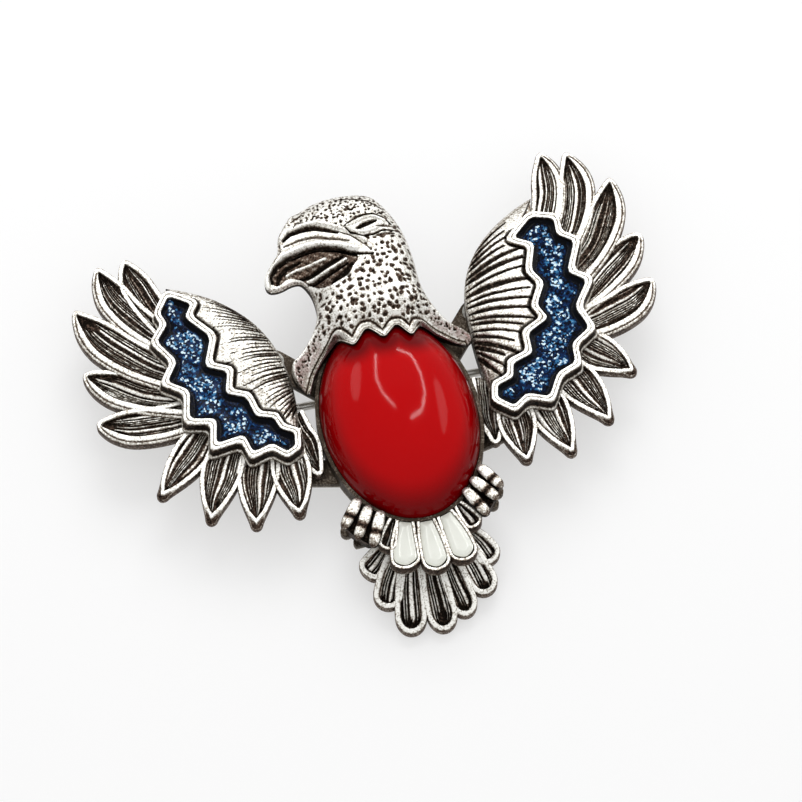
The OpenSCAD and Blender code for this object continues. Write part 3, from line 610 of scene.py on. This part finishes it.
def makeWing(side, wing):
    shells = []
    for i, f in enumerate(wing["feathers"]):  # neighbours lie at slightly different heights
        short = i >= wing["long"]
        level = plateTop - 0.05 + 0.05 * (i % 3) - 0.1 * short * (i % 2)
        shells.append(featherShell(f, shortLook if short else longLook, wing["seed"] + i, level))
    lead = leadLine(wing)
    well = wellLoop(wing)
    outline = np.vstack([lead, np.array(wing["zigzag"])[::-1]])
    bed = outOfCup(resample(outline, 0.4, True))

    def bedTop(plan, d):
        return np.full(len(plan), plateTop - 0.15) - 0.12 * (1 - rise(0, 0.2, d)), np.full(len(plan), 0.4)
    shells.append(relief(bed, 0.6, bedTop, lambda p, d: np.full(len(p), plateZ) + 0.1 * rise(0.3, 1.2, d)))
    web = grown(cutCorners(grown(well, 1.0), 3), 0.5, 1.1)  # a dark web joins the feathers round the well
    web = outOfCup(resample(web, 0.4, True))
    shells.append(relief(web, 0.6, flat(plateTop - 0.5, 0.95), flat(plateZ + 0.06)))
    addPiece(side + "_wing_feathers", joined(shells), silver, stands=(side + "_wing",))

    # the shoulder swells up from its leading edge, and grooves fan from there to the zigzag
    ridge = np.array(wing["ridge"], float)
    tip = lead[0] * 0.8 + ridge[-1] * 0.2
    goals = np.vstack([tip, ridge[::-1]])
    shoulder = outOfCup(np.vstack([lead, ridge]))
    rng = np.random.default_rng(wing["seed"])
    grooves = []
    first, last = wing["fan"]
    turn = -1 if side == "left" else 1
    taper = np.interp(np.linspace(0, 1, 12), [0, 0.2, 1], [0.4, 1, wing["thin"]])
    for k in range(wing["grooves"]):
        share = (k + 0.5) / wing["grooves"]
        a = atShare(lead, first + (last - first) * share ** 0.85 + rng.uniform(-0.004, 0.004))
        b = atShare(goals, 0.98 * share + rng.uniform(-0.008, 0.008))
        bow = leftOf(unit(b - a)) * np.linalg.norm(b - a) * (0.1 - 0.14 * share) * turn
        path = bend(a, (a + b) / 2 + bow, b, np.linspace(0.03, wing["reach"] * rng.uniform(0.6, 1.05), 12))
        grooves.append((path, taper * wing["cut"] * rng.uniform(0.4, 1.2)))

    def shoulderTop(plan, d):
        fromLead = distanceTo(plan, lead)
        fromRidge = distanceTo(plan, ridge)
        swell = np.sqrt(np.clip(1 - (1 - np.clip(fromLead / 3.2, 0, 1)) ** 2, 0, 1))
        crown = rise(0.5, 3.5, fromLead) * rise(0.4, 3, fromRidge)
        z = covert["edge"] + covert["swell"] * swell + covert["crown"] * crown
        # painted shade: the shoulder darkens towards its lower end
        wash = 0.1 + 0.16 * (1 - rise(0, 0.8, fromLead)) + wing["lowerShade"] * rise(9, -1, plan[:, 1])
        near = np.full(len(plan), 1e9)
        for path, width in grooves:
            near = np.minimum(near, distanceTo(plan, path, width=width))
        cut = 1 - rise(0.35, 1.1, near)
        z = z - covert["cut"] * cut
        wash = np.maximum(wash, 0.95 * cut)
        foot = 1 - rise(0.85, 1.3, fromRidge)  # dark step along the zigzag rim
        z = z - covert["step"] * foot
        wash = np.maximum(wash, 0.72 * foot)
        lip = np.exp(-((fromLead - 0.3) / 0.13) ** 2)
        wash = wash + 0.3 * np.exp(-((fromLead - 0.55) / 0.09) ** 2)
        return z + 0.06 * lip, np.clip(wash, 0, 1)
    face = relief(shoulder, 0.1, shoulderTop, flat(plateTop - 0.2), spacing=0.12)

    # a raised wall zigzags round the well: double crest, dark flank and a thin bead at its foot
    z, low = covertTop, covert["wallFoot"]
    rim = sweep(well, [
        (0.0, covert["wallRoot"], .95), (0.0, z - 0.5, .9), (0.02, z - 0.18, .5), (0.08, z - 0.04, .0),
        (0.24, z, 0), (0.34, z - 0.02, .05), (0.39, z - 0.11, .75), (0.44, z - 0.03, .1), (0.56, z, 0),
        (0.72, z - 0.04, .05), (0.79, z - 0.14, .45), (0.83, z - 0.5, .85), (0.86, z - 1.4, .93),
        (0.89, z - 1.56, .5), (0.99, z - 1.66, .05), (1.05, z - 1.82, .3), (1.06, low, .8), (0.0, low, .9)])
    pan = relief(grown(well, 0.3), 0.8, flat(covert["panTop"], 0.9), flat(covert["panUnder"]))
    addPiece(side + "_covert_relief", joined([face, rim, pan]), silver, stands=(side + "_covert",))

    def fillTop(plan, d):
        lapping = 0.2 * (1 - rise(0, 0.45, d))
        # more and brighter flakes in one small patch in a corner
        clump = 1 - rise(0.3, 0.8, np.hypot(*(plan - wing["clump"]).T))
        wave = 0.03 * np.sin(plan[:, 0] * 2.1) * np.sin(plan[:, 1] * 1.7)
        # painted shade: the enamel turns near black along the well's walls
        shore = 0.9 * (1 - rise(0.1, 0.9, d)) * (1 - clump) - 0.35 * clump
        return covert["fillTop"] + lapping + wave, shore
    fill = relief(cutCorners(grown(well, -0.015), 3, 0.13), 0.22, fillTop, flat(covert["fillUnder"]))
    addPiece(side + "_enamel_fill", fill, navy, slot="blue_enamel", stands=(side + "_wing_enamel",))
    print(side, "wing made")


makeWing("left", leftWing)
makeWing("right", rightWing)

# tail and rump
tail = {
    "look": {"rows": 46, "columns": 61, "rim": 0.66, "sink": 0.5, "tuck": 0.0, "barb": 0.72,
             "barbRise": 0.32,
             "blunt": 0.1, "even": 0.75, "rimWash": -0.12, "ends": (0.84, 0.97), "starts": 0.12,
             "dark": 0.95, "thick": 1.21, "cup": 0.05, "droop": 0.0, "open": 0.8, "rootShare": 0.5},
    "root": -16.0, "rootZ": 4.72, "slope": math.tan(math.radians(18)),
    "feathers": [[[-4.6, -15.6], [-8.5, -18.7], 3.0, 0, .5], [[-3.4, -15.8], [-7.2, -22.7], 3.4, -.2, .5],
                 [[-2.4, -16], [-5, -26.1], 3.7, -.2, .5], [[-.8, -16], [-1.2, -26.7], 3.6, 0, .5],
                 [[.6, -16], [1.8, -25.7], 3.3, 0, .5], [[2, -15.8], [4.8, -23.9], 3.4, .2, .5],
                 [[3.2, -15.6], [6.2, -20.7], 3.1, .2, .5]],
    # a thin plate under the feathers, at these depths below them
    "plate": [[-5.6, -16.1], [-6.6, -18.5], [-4.2, -20.5], [0, -22.5], [3.6, -21], [5.4, -18.6],
              [4.6, -16.1]],
    "plateTop": 0.62, "plateUnder": 1.2}


def onTail(points):
    return (points[:, 1] - tail["root"]) * tail["slope"]


shells = [featherShell(f, tail["look"], 50 + i, tail["rootZ"] - 0.07 * abs(i - 3), onTail)
          for i, f in enumerate(tail["feathers"])]
shells.append(relief(cutCorners(tail["plate"], 2), 0.6,
                     lambda p, d: (tail["rootZ"] - tail["plateTop"] + onTail(p), np.full(len(p), 0.9)),
                     lambda p, d: tail["rootZ"] - tail["plateUnder"] + onTail(p)))
addPiece("tail_feathers", joined(shells), silver, stands=("tail_fan",))

rump = {
    "look": {"rows": 44, "columns": 41, "rim": 0.42, "sink": 0.55, "tuck": 0.0, "barb": 0.9, "barbRise": 0.3,
             "blunt": 0.1, "even": 0.5, "rimWash": 0.1, "ends": (0.7, 0.95), "starts": -1.0,
             "dark": 0.92, "thick": 1.75, "cup": 0.0, "droop": 0.1, "open": 0.8, "rootShare": 0.52},
    "cells": [[[-3.9, -14], [-5.7, -17.4], 2.2, 0, .5], [[-2.4, -14], [-4, -20.3], 3.5, -.3, .5],
              [[-.4, -14], [-.6, -21.4], 3.4, 0, .5], [[1.6, -14], [2.8, -21.1], 3.4, .2, .5],
              [[3.5, -14], [5.1, -17.4], 2.2, 0, .5]],
    "white": (1, 2, 3), "inset": 0.45, "rise": 1.8, "fillTop": 1.62, "fillUnder": 1.25}
shells = [featherShell(f, rump["look"], 80 + i, plateZ + rump["rise"] - 0.03 * (i in (0, 4)))
          for i, f in enumerate(rump["cells"])]
addPiece("rump_cells", joined(shells), silver, stands=("rump_fan",))


def cellOutline(f, inset):
    # the hollow inside a cell's rim
    t = 1 - (1 - np.linspace(0, 1, 40)) ** 1.7
    axis, along, side, _ = featherLine(f, t)
    half = np.maximum(halfWidth(t, f[2], f[4], rump["look"]) - inset, 0.0)
    keep = half > 0.02
    tipBack = axis - along * (inset * rise(0.7, 1, t))[:, None]
    return np.vstack([(tipBack - side * half[:, None])[keep], (tipBack + side * half[:, None])[keep][::-1]])


# painted shade: the white is darker along each cell's edge, beside the rim
def whiteTop(plan, d):
    return plateZ + rump["fillTop"] + 0.18 * rise(0, 0.7, d), 0.5 * (1 - rise(0, 0.35, d))


fills = [relief(outOfCup(cellOutline(rump["cells"][i], rump["inset"]), 0.12), 0.16, whiteTop,
                flat(plateZ + rump["fillUnder"])) for i in rump["white"]]
addPiece("rump_enamel_fills", joined(fills), ivory, slot="white_enamel", stands=("tail_enamel",))
print("tail and rump made")

# talons
toeLook = {"radius": 0.72, "level": 7.3, "rings": 30, "sides": 24, "boxy": 3.6,
           "padTop": 6.9, "padReach": 0.35}
talons = {"left": [[[-7.6, -11.4], [-9.3, -13.4]], [[-6.6, -12.6], [-8.2, -15]],
                   [[-5.4, -13.6], [-6.8, -16.3]]],
          "right": [[[7.4, -11.2], [8.6, -13.2]], [[6.2, -12.4], [7.7, -14.5]], [[5, -13.5], [6.2, -16]]]}


def toeShell(a, b):
    a, b, r = np.array(a, float), np.array(b, float), toeLook["radius"]
    ahead, length = unit(b - a), np.linalg.norm(b - a)
    across = leftOf(ahead)
    angle = np.linspace(-math.pi / 2, math.pi / 2, toeLook["rings"])
    turn = np.linspace(0, 2 * math.pi, toeLook["sides"], endpoint=False)
    power = 2 / toeLook["boxy"]
    cx, cz = [np.sign(f(turn)) * np.abs(f(turn)) ** power for f in (np.cos, np.sin)]
    points, wash = [], []
    for s in angle:
        x = np.sign(s) * (length / 2 * min(1, abs(s)) + r * math.sin(abs(s)) * (abs(s) / (math.pi / 2)) ** 2)
        size = r * max(0.02, math.cos(s)) ** 0.3
        share = (x + length / 2) / length
        size *= 1 - 0.05 * math.exp(-((share - 0.55) / 0.16) ** 2)
        place = (a + b) / 2 + ahead * x
        points.append(np.c_[place + across * (cx * size)[:, None], toeLook["level"] + cz * size])
        # dark creases between the knuckles, and painted shade on each toe's sides and underside
        band = 0.85 * math.exp(-((share - 0.66) / 0.14) ** 2) + 0.5 * math.exp(-((share - 1.2) / 0.12) ** 2)
        sideShade = 0.85 * rise(0.9, 1.0, np.abs(cx)) * rise(0.9, 0.4, cz) + 0.5 * rise(0.2, -0.4, cz)
        wash.append(np.clip(0.12 + band * rise(-0.2, 0.5, cz) + sideShade, 0, 1))
    n, m = toeLook["sides"], toeLook["rings"]
    ends = [tuple(range(n))[::-1], tuple(range((m - 1) * n, m * n))]
    return np.vstack(points), tubeFaces(n, m) + ends, np.concatenate(wash)


def padTop(plan, d):
    return toeLook["padTop"] - 0.2 * (1 - rise(0, 0.25, d)), np.full(len(plan), 0.97)


for side, toes in talons.items():
    shells = [toeShell(a, b) for a, b in toes]
    corners = [np.array(p) for p in (toes[0][0], toes[0][1], toes[1][1], toes[2][1], toes[2][0], toes[1][0])]
    pad = grown(cutCorners(turned(corners), 2), toeLook["padReach"])
    pad = outOfCup(resample(pad, 0.2, True), 0.02)
    shells.append(relief(pad, 0.3, padTop, flat(plateZ)))
    addPiece(side + "_toes", joined(shells), silver, stands=(side + "_talon",))
print("talons made")

# head
head = {
    "outline": [[-9.6, 3.1], [-10.6, 4.9], [-10.6, 6.6], [-9.1, 7.5], [-7.3, 9.4], [-6.2, 11.2],
                [-5.7, 13.2],
                [-6.6, 14.5], [-7.8, 15], [-9.8, 14.4], [-11.2, 14.7], [-11.1, 16.4], [-10.1, 17.6],
                [-8.6, 19.2], [-8.3, 21.1], [-6.9, 22.6], [-5.9, 24.4], [-3.2, 25.5], [0, 25.7], [3.8, 24.9],
                [5.2, 22.8], [6.4, 19.6], [6.7, 16], [6.5, 12.6], [7.1, 9.7], [8.2, 7.2], [10.3, 5.6],
                [10.7, 4.6], [9.9, 4.2]],
    "collar": [[9.4, 4.3], [8.4, 4.8], [6.9, 5.9], [5.2, 7.5], [3.6, 5.3], [2.35, 7.7], [.4, 5.6],
               [-1.1, 8.2],
               [-3.1, 5.8], [-4.6, 8.2], [-5.8, 7.3], [-7, 6.2], [-8.2, 4.9], [-9.2, 3]],
    "mouth": [[-10.4, 15.4], [-9.6, 17.4], [-6, 18.5], [-2, 17.8], [0.6, 16.4], [-1, 14.9], [-3.6, 13.4],
              [-6, 14.4], [-8.2, 15.9], [-9.6, 15.0]],
    "beak": [[-11.5, 14.2], [-11.4, 16.6], [-8.8, 21.4], [-5, 22.2], [-1.5, 20.9], [0.4, 18.8], [1.6, 16.4],
             [-0.4, 14.9], [-3, 13.2], [-5.4, 13.4], [-7, 15]],
    "eye": (2.2, 19.75), "eyeHalf": (2.5, 1.15),
    "step": 0.088, "crown": 5.95, "swell": 4.8, "highest": 13.17, "hollow": 3.2, "beakLift": 4.55, "seed": 5,
    "pitSpacing": 0.75, "pitSize": (0.15, 0.3), "pitLonger": (1.0, 1.7), "pitDepth": 0.16, "pitWash": 0.8,
    # finer pits fill in over these patches: left, right, low and high
    "fineSpacing": 0.62, "fineSize": 0.55,
    "finePatches": [(-8.2, 6, 20.4, 25), (-11, -5.6, 3, 11.5), (5.4, 11, 4, 11)],
    # the coarse ones are smaller above this height and outside this width
    "edgeSize": 0.65, "edgeHigh": 20.6, "edgeWide": 6.4,
    # grooves: points, half width at the middle, wash and depth
    "grooves": [
        ([[-7.7, 20.5], [-6.75, 21.15], [-5.45, 21.35], [-3.95, 21.05], [-2.45, 20.3], [-1.45, 19.75]], .38,
         .95, .5),
        ([[-7.8, 19.75], [-5.95, 20.1], [-3.95, 19.8], [-2.45, 19.2], [-0.4, 18.4]], .2, .6, .3),
        ([[-10.3, 15.6], [-10.2, 16.5], [-9.4, 17.45], [-7.95, 18.15], [-5.95, 18.45], [-3.95, 18.35],
          [-1.95, 17.7], [-0.65, 16.9], [0.3, 16.5], [1.85, 16.1]], .3, .97, .5),
        ([[-9.7, 15.4], [-9.2, 16.4], [-8.2, 17.1], [-6.5, 17.5]], .3, .97, .4),
        ([[-6.9, 15.4], [-5.6, 15.6], [-3.6, 16.25], [-1.6, 16.75]], .3, 1, .4),
        ([[-6.3, 14.5], [-4.6, 14.8], [-2.8, 15.25], [-1.2, 15.8]], .2, 1, .4),
        ([[-3.4, 14.0], [-1.8, 14.6], [-0.7, 15.6]], .45, .97, .4),
        ([[-1.6, 20.0], [0.0, 18.95], [1.0, 17.75], [1.75, 16.75]], .1, .7, .2),
        ([[-8.25, 20.2], [-8.35, 19.2], [-9.4, 18.1]], .12, .6, .2),
        ([[0.9, 19.65], [2.0, 19.95], [3.3, 20.2]], .34, 1, .45),
        ([[-0.5, 20.1], [0.1, 19.2], [1.3, 18.5], [2.6, 18.45], [3.7, 18.8], [5.1, 18.7]], .16, .95, .3),
        ([[-0.5, 20.3], [0.5, 20.8], [1.5, 21.15], [3.1, 21.2], [4.3, 20.6], [5.0, 19.5]], .14, .95, .25),
        ([[2.9, 18.2], [3.9, 18.3], [5.0, 18.3]], .2, .75, .25),
        ([[3.2, 19.3], [4.2, 19.35], [5.2, 19.2]], .14, .7, .2),
        ([[0.2, 23.0], [0.9, 22.1], [1.6, 22.9]], .14, .9, .2),
        ([[-0.6, 24.3], [1.2, 23.9], [3.2, 23.0], [4.6, 21.8]], .12, .85, .2),
        ([[1.4, 24.6], [2.8, 24.3], [4.0, 23.5]], .1, .8, .15),
        ([[-5.6, 23.2], [-4.7, 23.5]], .12, .8, .2),
        ([[-6.1, 21.9], [-5.6, 22.6], [-4.9, 22.2]], .1, .85, .2),
        ([[-3.9, 22.0], [-3.5, 22.7], [-2.9, 22.1]], .1, .85, .2)],
    # raised bands: points, half width, rise
    "bands": [
        ([[-11.0, 15.0], [-10.8, 16.5], [-9.9, 17.7], [-8.4, 18.8], [-5.95, 19.2], [-3.95, 19.0],
          [-1.7, 18.3],
          [0.2, 17.3]], .42, .35),
        ([[-7.9, 20.9], [-6.9, 21.8], [-5.2, 22.0], [-3.5, 21.7], [-1.8, 20.8], [0.1, 19.5],
          [1.5, 17.9]], .3, .28),
        ([[-6.2, 14.95], [-4.4, 15.35], [-2.6, 15.85], [-1.3, 16.3]], .24, .35),
        ([[-8.4, 16.2], [-7.2, 16.6], [-5.4, 16.75], [-3.6, 17.0]], .2, .25),
        ([[-10.9, 15.0], [-9.8, 14.75], [-8.0, 15.25], [-6.9, 14.9], [-6.1, 14.1]], .16, .15),
        ([[-0.1, 20.1], [0.7, 19.3], [1.7, 19.0], [2.9, 19.1], [4.0, 19.6]], .24, .3),
        ([[-0.1, 20.2], [0.9, 20.5], [2.0, 20.75], [3.2, 20.8], [4.3, 20.1]], .2, .3)]}
collarLine = cutCorners(head["collar"], 2, 0.15, closed=False)
headLoop = np.vstack([cutCorners(head["outline"], 2, closed=False), collarLine])


def headTop(plan, d):
    # neck and crown swell over the outline, and run down to a collar that lies on the stone
    bulge = np.clip(1 - (1 - np.clip(d / head["swell"], 0, 1)) ** 2.4, 0, 1) ** 0.42
    z = bezelZ + 1.2 + (head["crown"] - 1.25) * bulge
    fromCollar = distanceTo(plan, collarLine)
    aside = np.abs(plan[:, 0])
    foot = np.interp(aside, [0, 2, 4, 5.5, 6.5, 9], [12.2, 12.0, 11.2, 9.8, 8.7, 7.7])
    climb = foot + (0.5 + 0.7 * rise(3, 7, aside)) * np.maximum(fromCollar - 0.7, 0)
    z = -np.log(np.exp(-2.5 * (z - 10)) + np.exp(-2.5 * (climb - 10))) / 2.5 + 10  # the lower one, blended
    z = np.maximum(z, np.where(fromCollar < 2.5, domeZ(plan, 0.06) + 0.52, 0))
    onBeak = rise(-4.6, -7.2, plan[:, 0]) * rise(12.6, 14.0, plan[:, 1])  # the beak stands at full height
    z = z * (1 - onBeak) + (bezelZ + head["crown"] - 0.5 - 0.3 * (1 - rise(0, 0.3, d))) * onBeak
    wash = np.full(len(plan), 0.05) + 0.3 * (1 - rise(0, 0.3, d))
    mouth = inside(plan, cutCorners(head["mouth"], 2))
    tone = 0.5 + 0.5 * np.sin(plan[:, 0] * 5.1 + plan[:, 1] * 7.3)
    wash = np.where(mouth, 0.6 + 0.18 * tone, wash)
    z = z - 0.4 * mouth
    plain = np.zeros(len(plan))  # where no pits are punched
    for points, half, lift in head["bands"]:
        near = distanceTo(plan, resample(points, 0.3)) / half
        bump = 1 - rise(0.3, 1.25, near)
        z = z + lift * bump
        wash = wash * (1 - bump) + 0.02 * bump
        plain = np.maximum(plain, bump)
    for points, half, dark, depth in head["grooves"]:
        line = resample(points, 0.25)
        taper = half * (0.35 + 0.65 * np.sin(np.linspace(0.25, math.pi - 0.25, len(line))))
        near = distanceTo(plan, line, width=taper)
        cut = 1 - rise(0.45, 1.15, near)
        z = z - depth * cut
        wash = np.maximum(wash, dark * cut)
        plain = np.maximum(plain, cut)
    # the beak and the eye aren't punched
    beak = inside(plan, cutCorners(head["beak"], 1))
    beak |= np.sum(((plan - head["eye"]) / head["eyeHalf"]) ** 2, axis=1) < 1
    # a bright wavy band edges the collar, with a dark line above it
    broad = 0.3 + 0.42 * (1 - rise(4.0, 6.0, aside))
    band = 1 - rise(broad - 0.1, broad + 0.02, fromCollar)
    line = np.exp(-((fromCollar - broad - 0.18) / 0.13) ** 2)
    hem = np.exp(-((fromCollar - 0.2) / 0.07) ** 2)
    z = z + 0.14 * band - 0.16 * line - 0.08 * hem
    wash = np.maximum(wash * (1 - band), np.maximum(0.92 * line, 0.6 * hem))
    # punched pits over head and neck
    rng = np.random.default_rng(head["seed"])
    low, high, spacing = plan.min(0), plan.max(0), head["pitSpacing"]
    spots = [np.array([x, y]) + rng.uniform(-0.36, 0.36, 2) * spacing
             for x in np.arange(low[0], high[0], spacing) for y in np.arange(low[1], high[1], spacing)]
    fine = head["fineSpacing"]
    coarse = len(spots)
    spots += [np.array([x, y]) + rng.uniform(-0.4, 0.4, 2) * fine
              for left, right, down, up in head["finePatches"]
              for x in np.arange(left, right, fine) for y in np.arange(down, up, fine)]
    for k, spot in enumerate(spots):
        size, slant = rng.uniform(*head["pitSize"]), rng.uniform(0, math.pi)
        longer = rng.uniform(*head["pitLonger"])
        if k >= coarse:
            size *= head["fineSize"]
        elif spot[1] > head["edgeHigh"] or abs(spot[0]) > head["edgeWide"]:
            size *= head["edgeSize"]
        away = plan - spot
        close = np.abs(away).max(1) < 0.7
        if not close.any():
            continue
        p = away[close]
        a = (p @ [math.cos(slant), math.sin(slant)]) / longer
        b = p @ [-math.sin(slant), math.cos(slant)]
        hole = (1 - rise(0.6, 1.15, np.hypot(a, b) / size)) * (1 - plain[close])
        hole *= (~beak[close]) * rise(1.0, 1.2, fromCollar[close]) * rise(0.2, 0.4, d[close])
        z[close] -= head["pitDepth"] * hole
        wash[close] = np.maximum(wash[close], head["pitWash"] * hole)
    return np.minimum(z, head["highest"]), np.clip(wash, 0, 1)


def headUnder(plan, d):
    hollow = rise(1.2, 2.4, d) * rise(13.2, 13.6, plan[:, 1])
    beak = rise(-4.8, -7.4, plan[:, 0]) * rise(12.6, 14.0, plan[:, 1])  # the beak stands clear of the back
    lift = np.maximum(head["hollow"] * hollow, head["beakLift"] * beak)
    return np.maximum(domeZ(plan, 0.07), bezelZ + 0.06) + lift


face = relief(headLoop, head["step"], headTop, headUnder, underStep=0.35, spacing=0.1)
addPiece("eagle_head", face, silver, stands=("head",), sharp=50)
print("head made")

# stone
turns = np.linspace(0, 2 * math.pi, stone["sides"], endpoint=False)
circle = np.stack([np.cos(turns), np.sin(turns)], 1)
steps = [(0.96, stone["bottom"]), (1.0, stone["bottom"] + 0.12), (1.0, stone["girdle"] - 0.1)]
steps += [(math.cos(a), stone["girdle"] + stone["dome"] * math.sin(a))
          for a in np.linspace(0, math.pi / 2, stone["rings"])[:-1]]
points = [np.c_[stone["centre"] + circle * stone["half"] * r, np.full(len(circle), z)] for r, z in steps]
poles = [[*stone["centre"], z] for z in (stone["bottom"], stone["girdle"] + stone["dome"])]
points = np.vstack(points + [poles])
n, m = stone["sides"], len(steps)
faces = tubeFaces(n, m) + [((i + 1) % n, i, m * n) for i in range(n)]
faces += [((m - 1) * n + i, (m - 1) * n + (i + 1) % n, m * n + 1) for i in range(n)]
# painted shade: a deeper red towards the stone's edge, and a painted shadow of the collar on the stone
shade = np.maximum(np.concatenate([np.full(n, 0.8 * rise(0.72, 1.0, r)) for r, z in steps] + [[0, 0]]),
                   0.95 * (1 - rise(0.6, 3.4, distanceTo(points[:, :2], collarLine))))
addPiece("domed_stone", (points, faces, shade), red, slot="red_stone", stands=("cabochon",), sharp=60)
print("stone made")

# CAD pieces that keep their shape
finishes = {"back_cup": cupSilver, "cabochon_cement": cement, "solder_joints": solder, "pin_hinge": stamped,
            "hinge_rivet": wire, "pin_stem": wire, "pin_catch": stamped, "catch_rotor": stamped}
for name, material in finishes.items():
    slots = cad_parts[name].data.materials
    if not len(slots):
        slots.append(material)
    for k in range(len(slots)):
        slots[k] = material
# the nodes that other pieces stand for
stoodFor = {"cabochon": red, "left_wing_enamel": navy, "right_wing_enamel": navy, "tail_enamel": ivory}
for name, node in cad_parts.items():
    if name not in finishes:
        for k in range(len(node.data.materials)):
            node.data.materials[k] = stoodFor.get(name, silverBack)
print("findings finished")

# floor, light and camera; the sheet's half width and how far it lies below the part are in metres
sheet = {"half": 3, "z": -0.0001, "white": 0.92, "glow": 0.5}
floorMesh = bpy.data.meshes.new("floor")
floorMesh.from_pydata([(x * sheet["half"], y * sheet["half"], sheet["z"])
                       for x, y in ((-1, -1), (1, -1), (1, 1), (-1, 1))], [], [(0, 1, 2, 3)])
floor = bpy.data.objects.new("floor", floorMesh)
bpy.context.scene.collection.objects.link(floor)


def whiteRays(tree):
    # 1 for the rays that find plain white there: the camera's, and those of gloss and glass
    rays = add(tree, "LightPath").outputs
    seen = rays["Is Camera Ray"]
    for kind in ("Is Glossy Ray", "Is Transmission Ray"):
        seen = add(tree, "Math", {0: seen, 1: rays[kind]}, operation="MAXIMUM")
    return seen


# matt paper, coated: near white to the eye and in the metal, and it still takes the shadow
paper, tree, _ = newMaterial("coated_paper")
half = add(tree, "Math", {0: whiteRays(tree), 1: sheet["glow"]}, operation="MULTIPLY")
matt = add(tree, "BsdfDiffuse", {"Color": (*[sheet["white"]] * 3, 1)})
glow = add(tree, "Emission", {"Color": (1, 1, 1, 1), "Strength": 1.0})
mixed = add(tree, "MixShader", {0: half, 1: matt, 2: glow})
# from below it is clear, so that the pin can be looked at
facing = add(tree, "NewGeometry")
rays = add(tree, "LightPath")
below = add(tree, "Math", {0: rays.outputs["Is Camera Ray"], 1: facing.outputs["Backfacing"]},
            operation="MULTIPLY")
clear = add(tree, "BsdfTransparent")
whole = add(tree, "MixShader", {0: below, 1: mixed, 2: clear})
add(tree, "OutputMaterial", {"Surface": whole})
floorMesh.materials.append(paper)

# strengths of the room: on the part, and as seen in front of it and overhead; directions, and lengths in mm
studio = {"world": 0.8, "front": 0.88, "overhead": 0.84, "lean": (-0.12, 0.66, 0.74),
          "target": Vector((0.83, 0.08, 6.0)) * mm, "camera": Vector((-0.1032, -0.3758, 0.921)),
          "distance": 430, "lens": 167.35, "sensor": 36}
world = bpy.data.worlds.new("studio")
bpy.context.scene.world = world
world.use_nodes = True
tree = world.node_tree
tree.nodes.clear()
# the room is a shade darker overhead and behind the brooch than in front of it
way = add(tree, "TexCoord")
lean = add(tree, "VectorMath", {0: way.outputs["Generated"], 1: studio["lean"]}, operation="DOT_PRODUCT")
room = add(tree, "MapRange", {0: lean.outputs["Value"], 1: 0.1, 2: 0.85, 3: studio["front"],
                              4: studio["overhead"]})
level = add(tree, "Mix", {0: whiteRays(tree), 2: studio["world"], 3: room})
back = add(tree, "Background", {"Color": (1, 1, 1, 1), "Strength": level})
add(tree, "OutputWorld", {"Surface": back})

# each lamp: places along it in mm, width in mm, radiance, seen by gloss only
lamps = {
    "soft_box": ([(-35, 217, 224), (163, 217, 224)], 190, 3.6, False),
    "left_tube": ([(-19, 256, 174), (-57, 185, 243), (-49, 136, 276), (-9, 83, 300)], 10, 32, True),
    "right_tube": ([(90, 251, 157), (148, 223, 155), (169, 170, 196), (168, 106, 238), (130, 52, 278),
                    (60, 35, 303)], 11, 32, True),
    "left_panel": ([(-115, 250, 142), (-196, 141, 195)], 70, 3, True),
    "right_panel": ([(230, 145, 147), (226, -30, 212)], 60, 3, True)}
for name, (places, width, radiance, glossOnly) in lamps.items():
    for k, (start, stop) in enumerate(zip(places[:-1], places[1:])):
        start, stop = Vector(start) * mm, Vector(stop) * mm
        light = bpy.data.lights.new(name, "AREA")
        light.shape = "ELLIPSE" if "panel" in name else "RECTANGLE"
        light.size, light.size_y = width * mm, (stop - start).length
        light.energy = radiance * math.pi * light.size * light.size_y
        lamp = bpy.data.objects.new("%s_%d" % (name, k + 1), light)
        bpy.context.scene.collection.objects.link(lamp)
        lamp.location = (start + stop) / 2
        back = (lamp.location - studio["target"]).normalized()
        along = (stop - start - back * back.dot(stop - start)).normalized()
        lamp.rotation_euler = Matrix((along.cross(back), along, back)).transposed().to_euler()
        lamp.visible_camera = False
        lamp.visible_diffuse, lamp.visible_glossy = not glossOnly, glossOnly

lens = bpy.data.cameras.new("camera")
lens.sensor_width, lens.lens = studio["sensor"], studio["lens"]
camera = bpy.data.objects.new("camera", lens)
bpy.context.scene.collection.objects.link(camera)
away = studio["camera"].normalized()
camera.location = studio["target"] + away * studio["distance"] * mm
camera.rotation_euler = away.to_track_quat("Z", "Y").to_euler()
bpy.context.scene.camera = camera
bpy.context.scene.view_settings.view_transform = "Standard"
print("studio set")
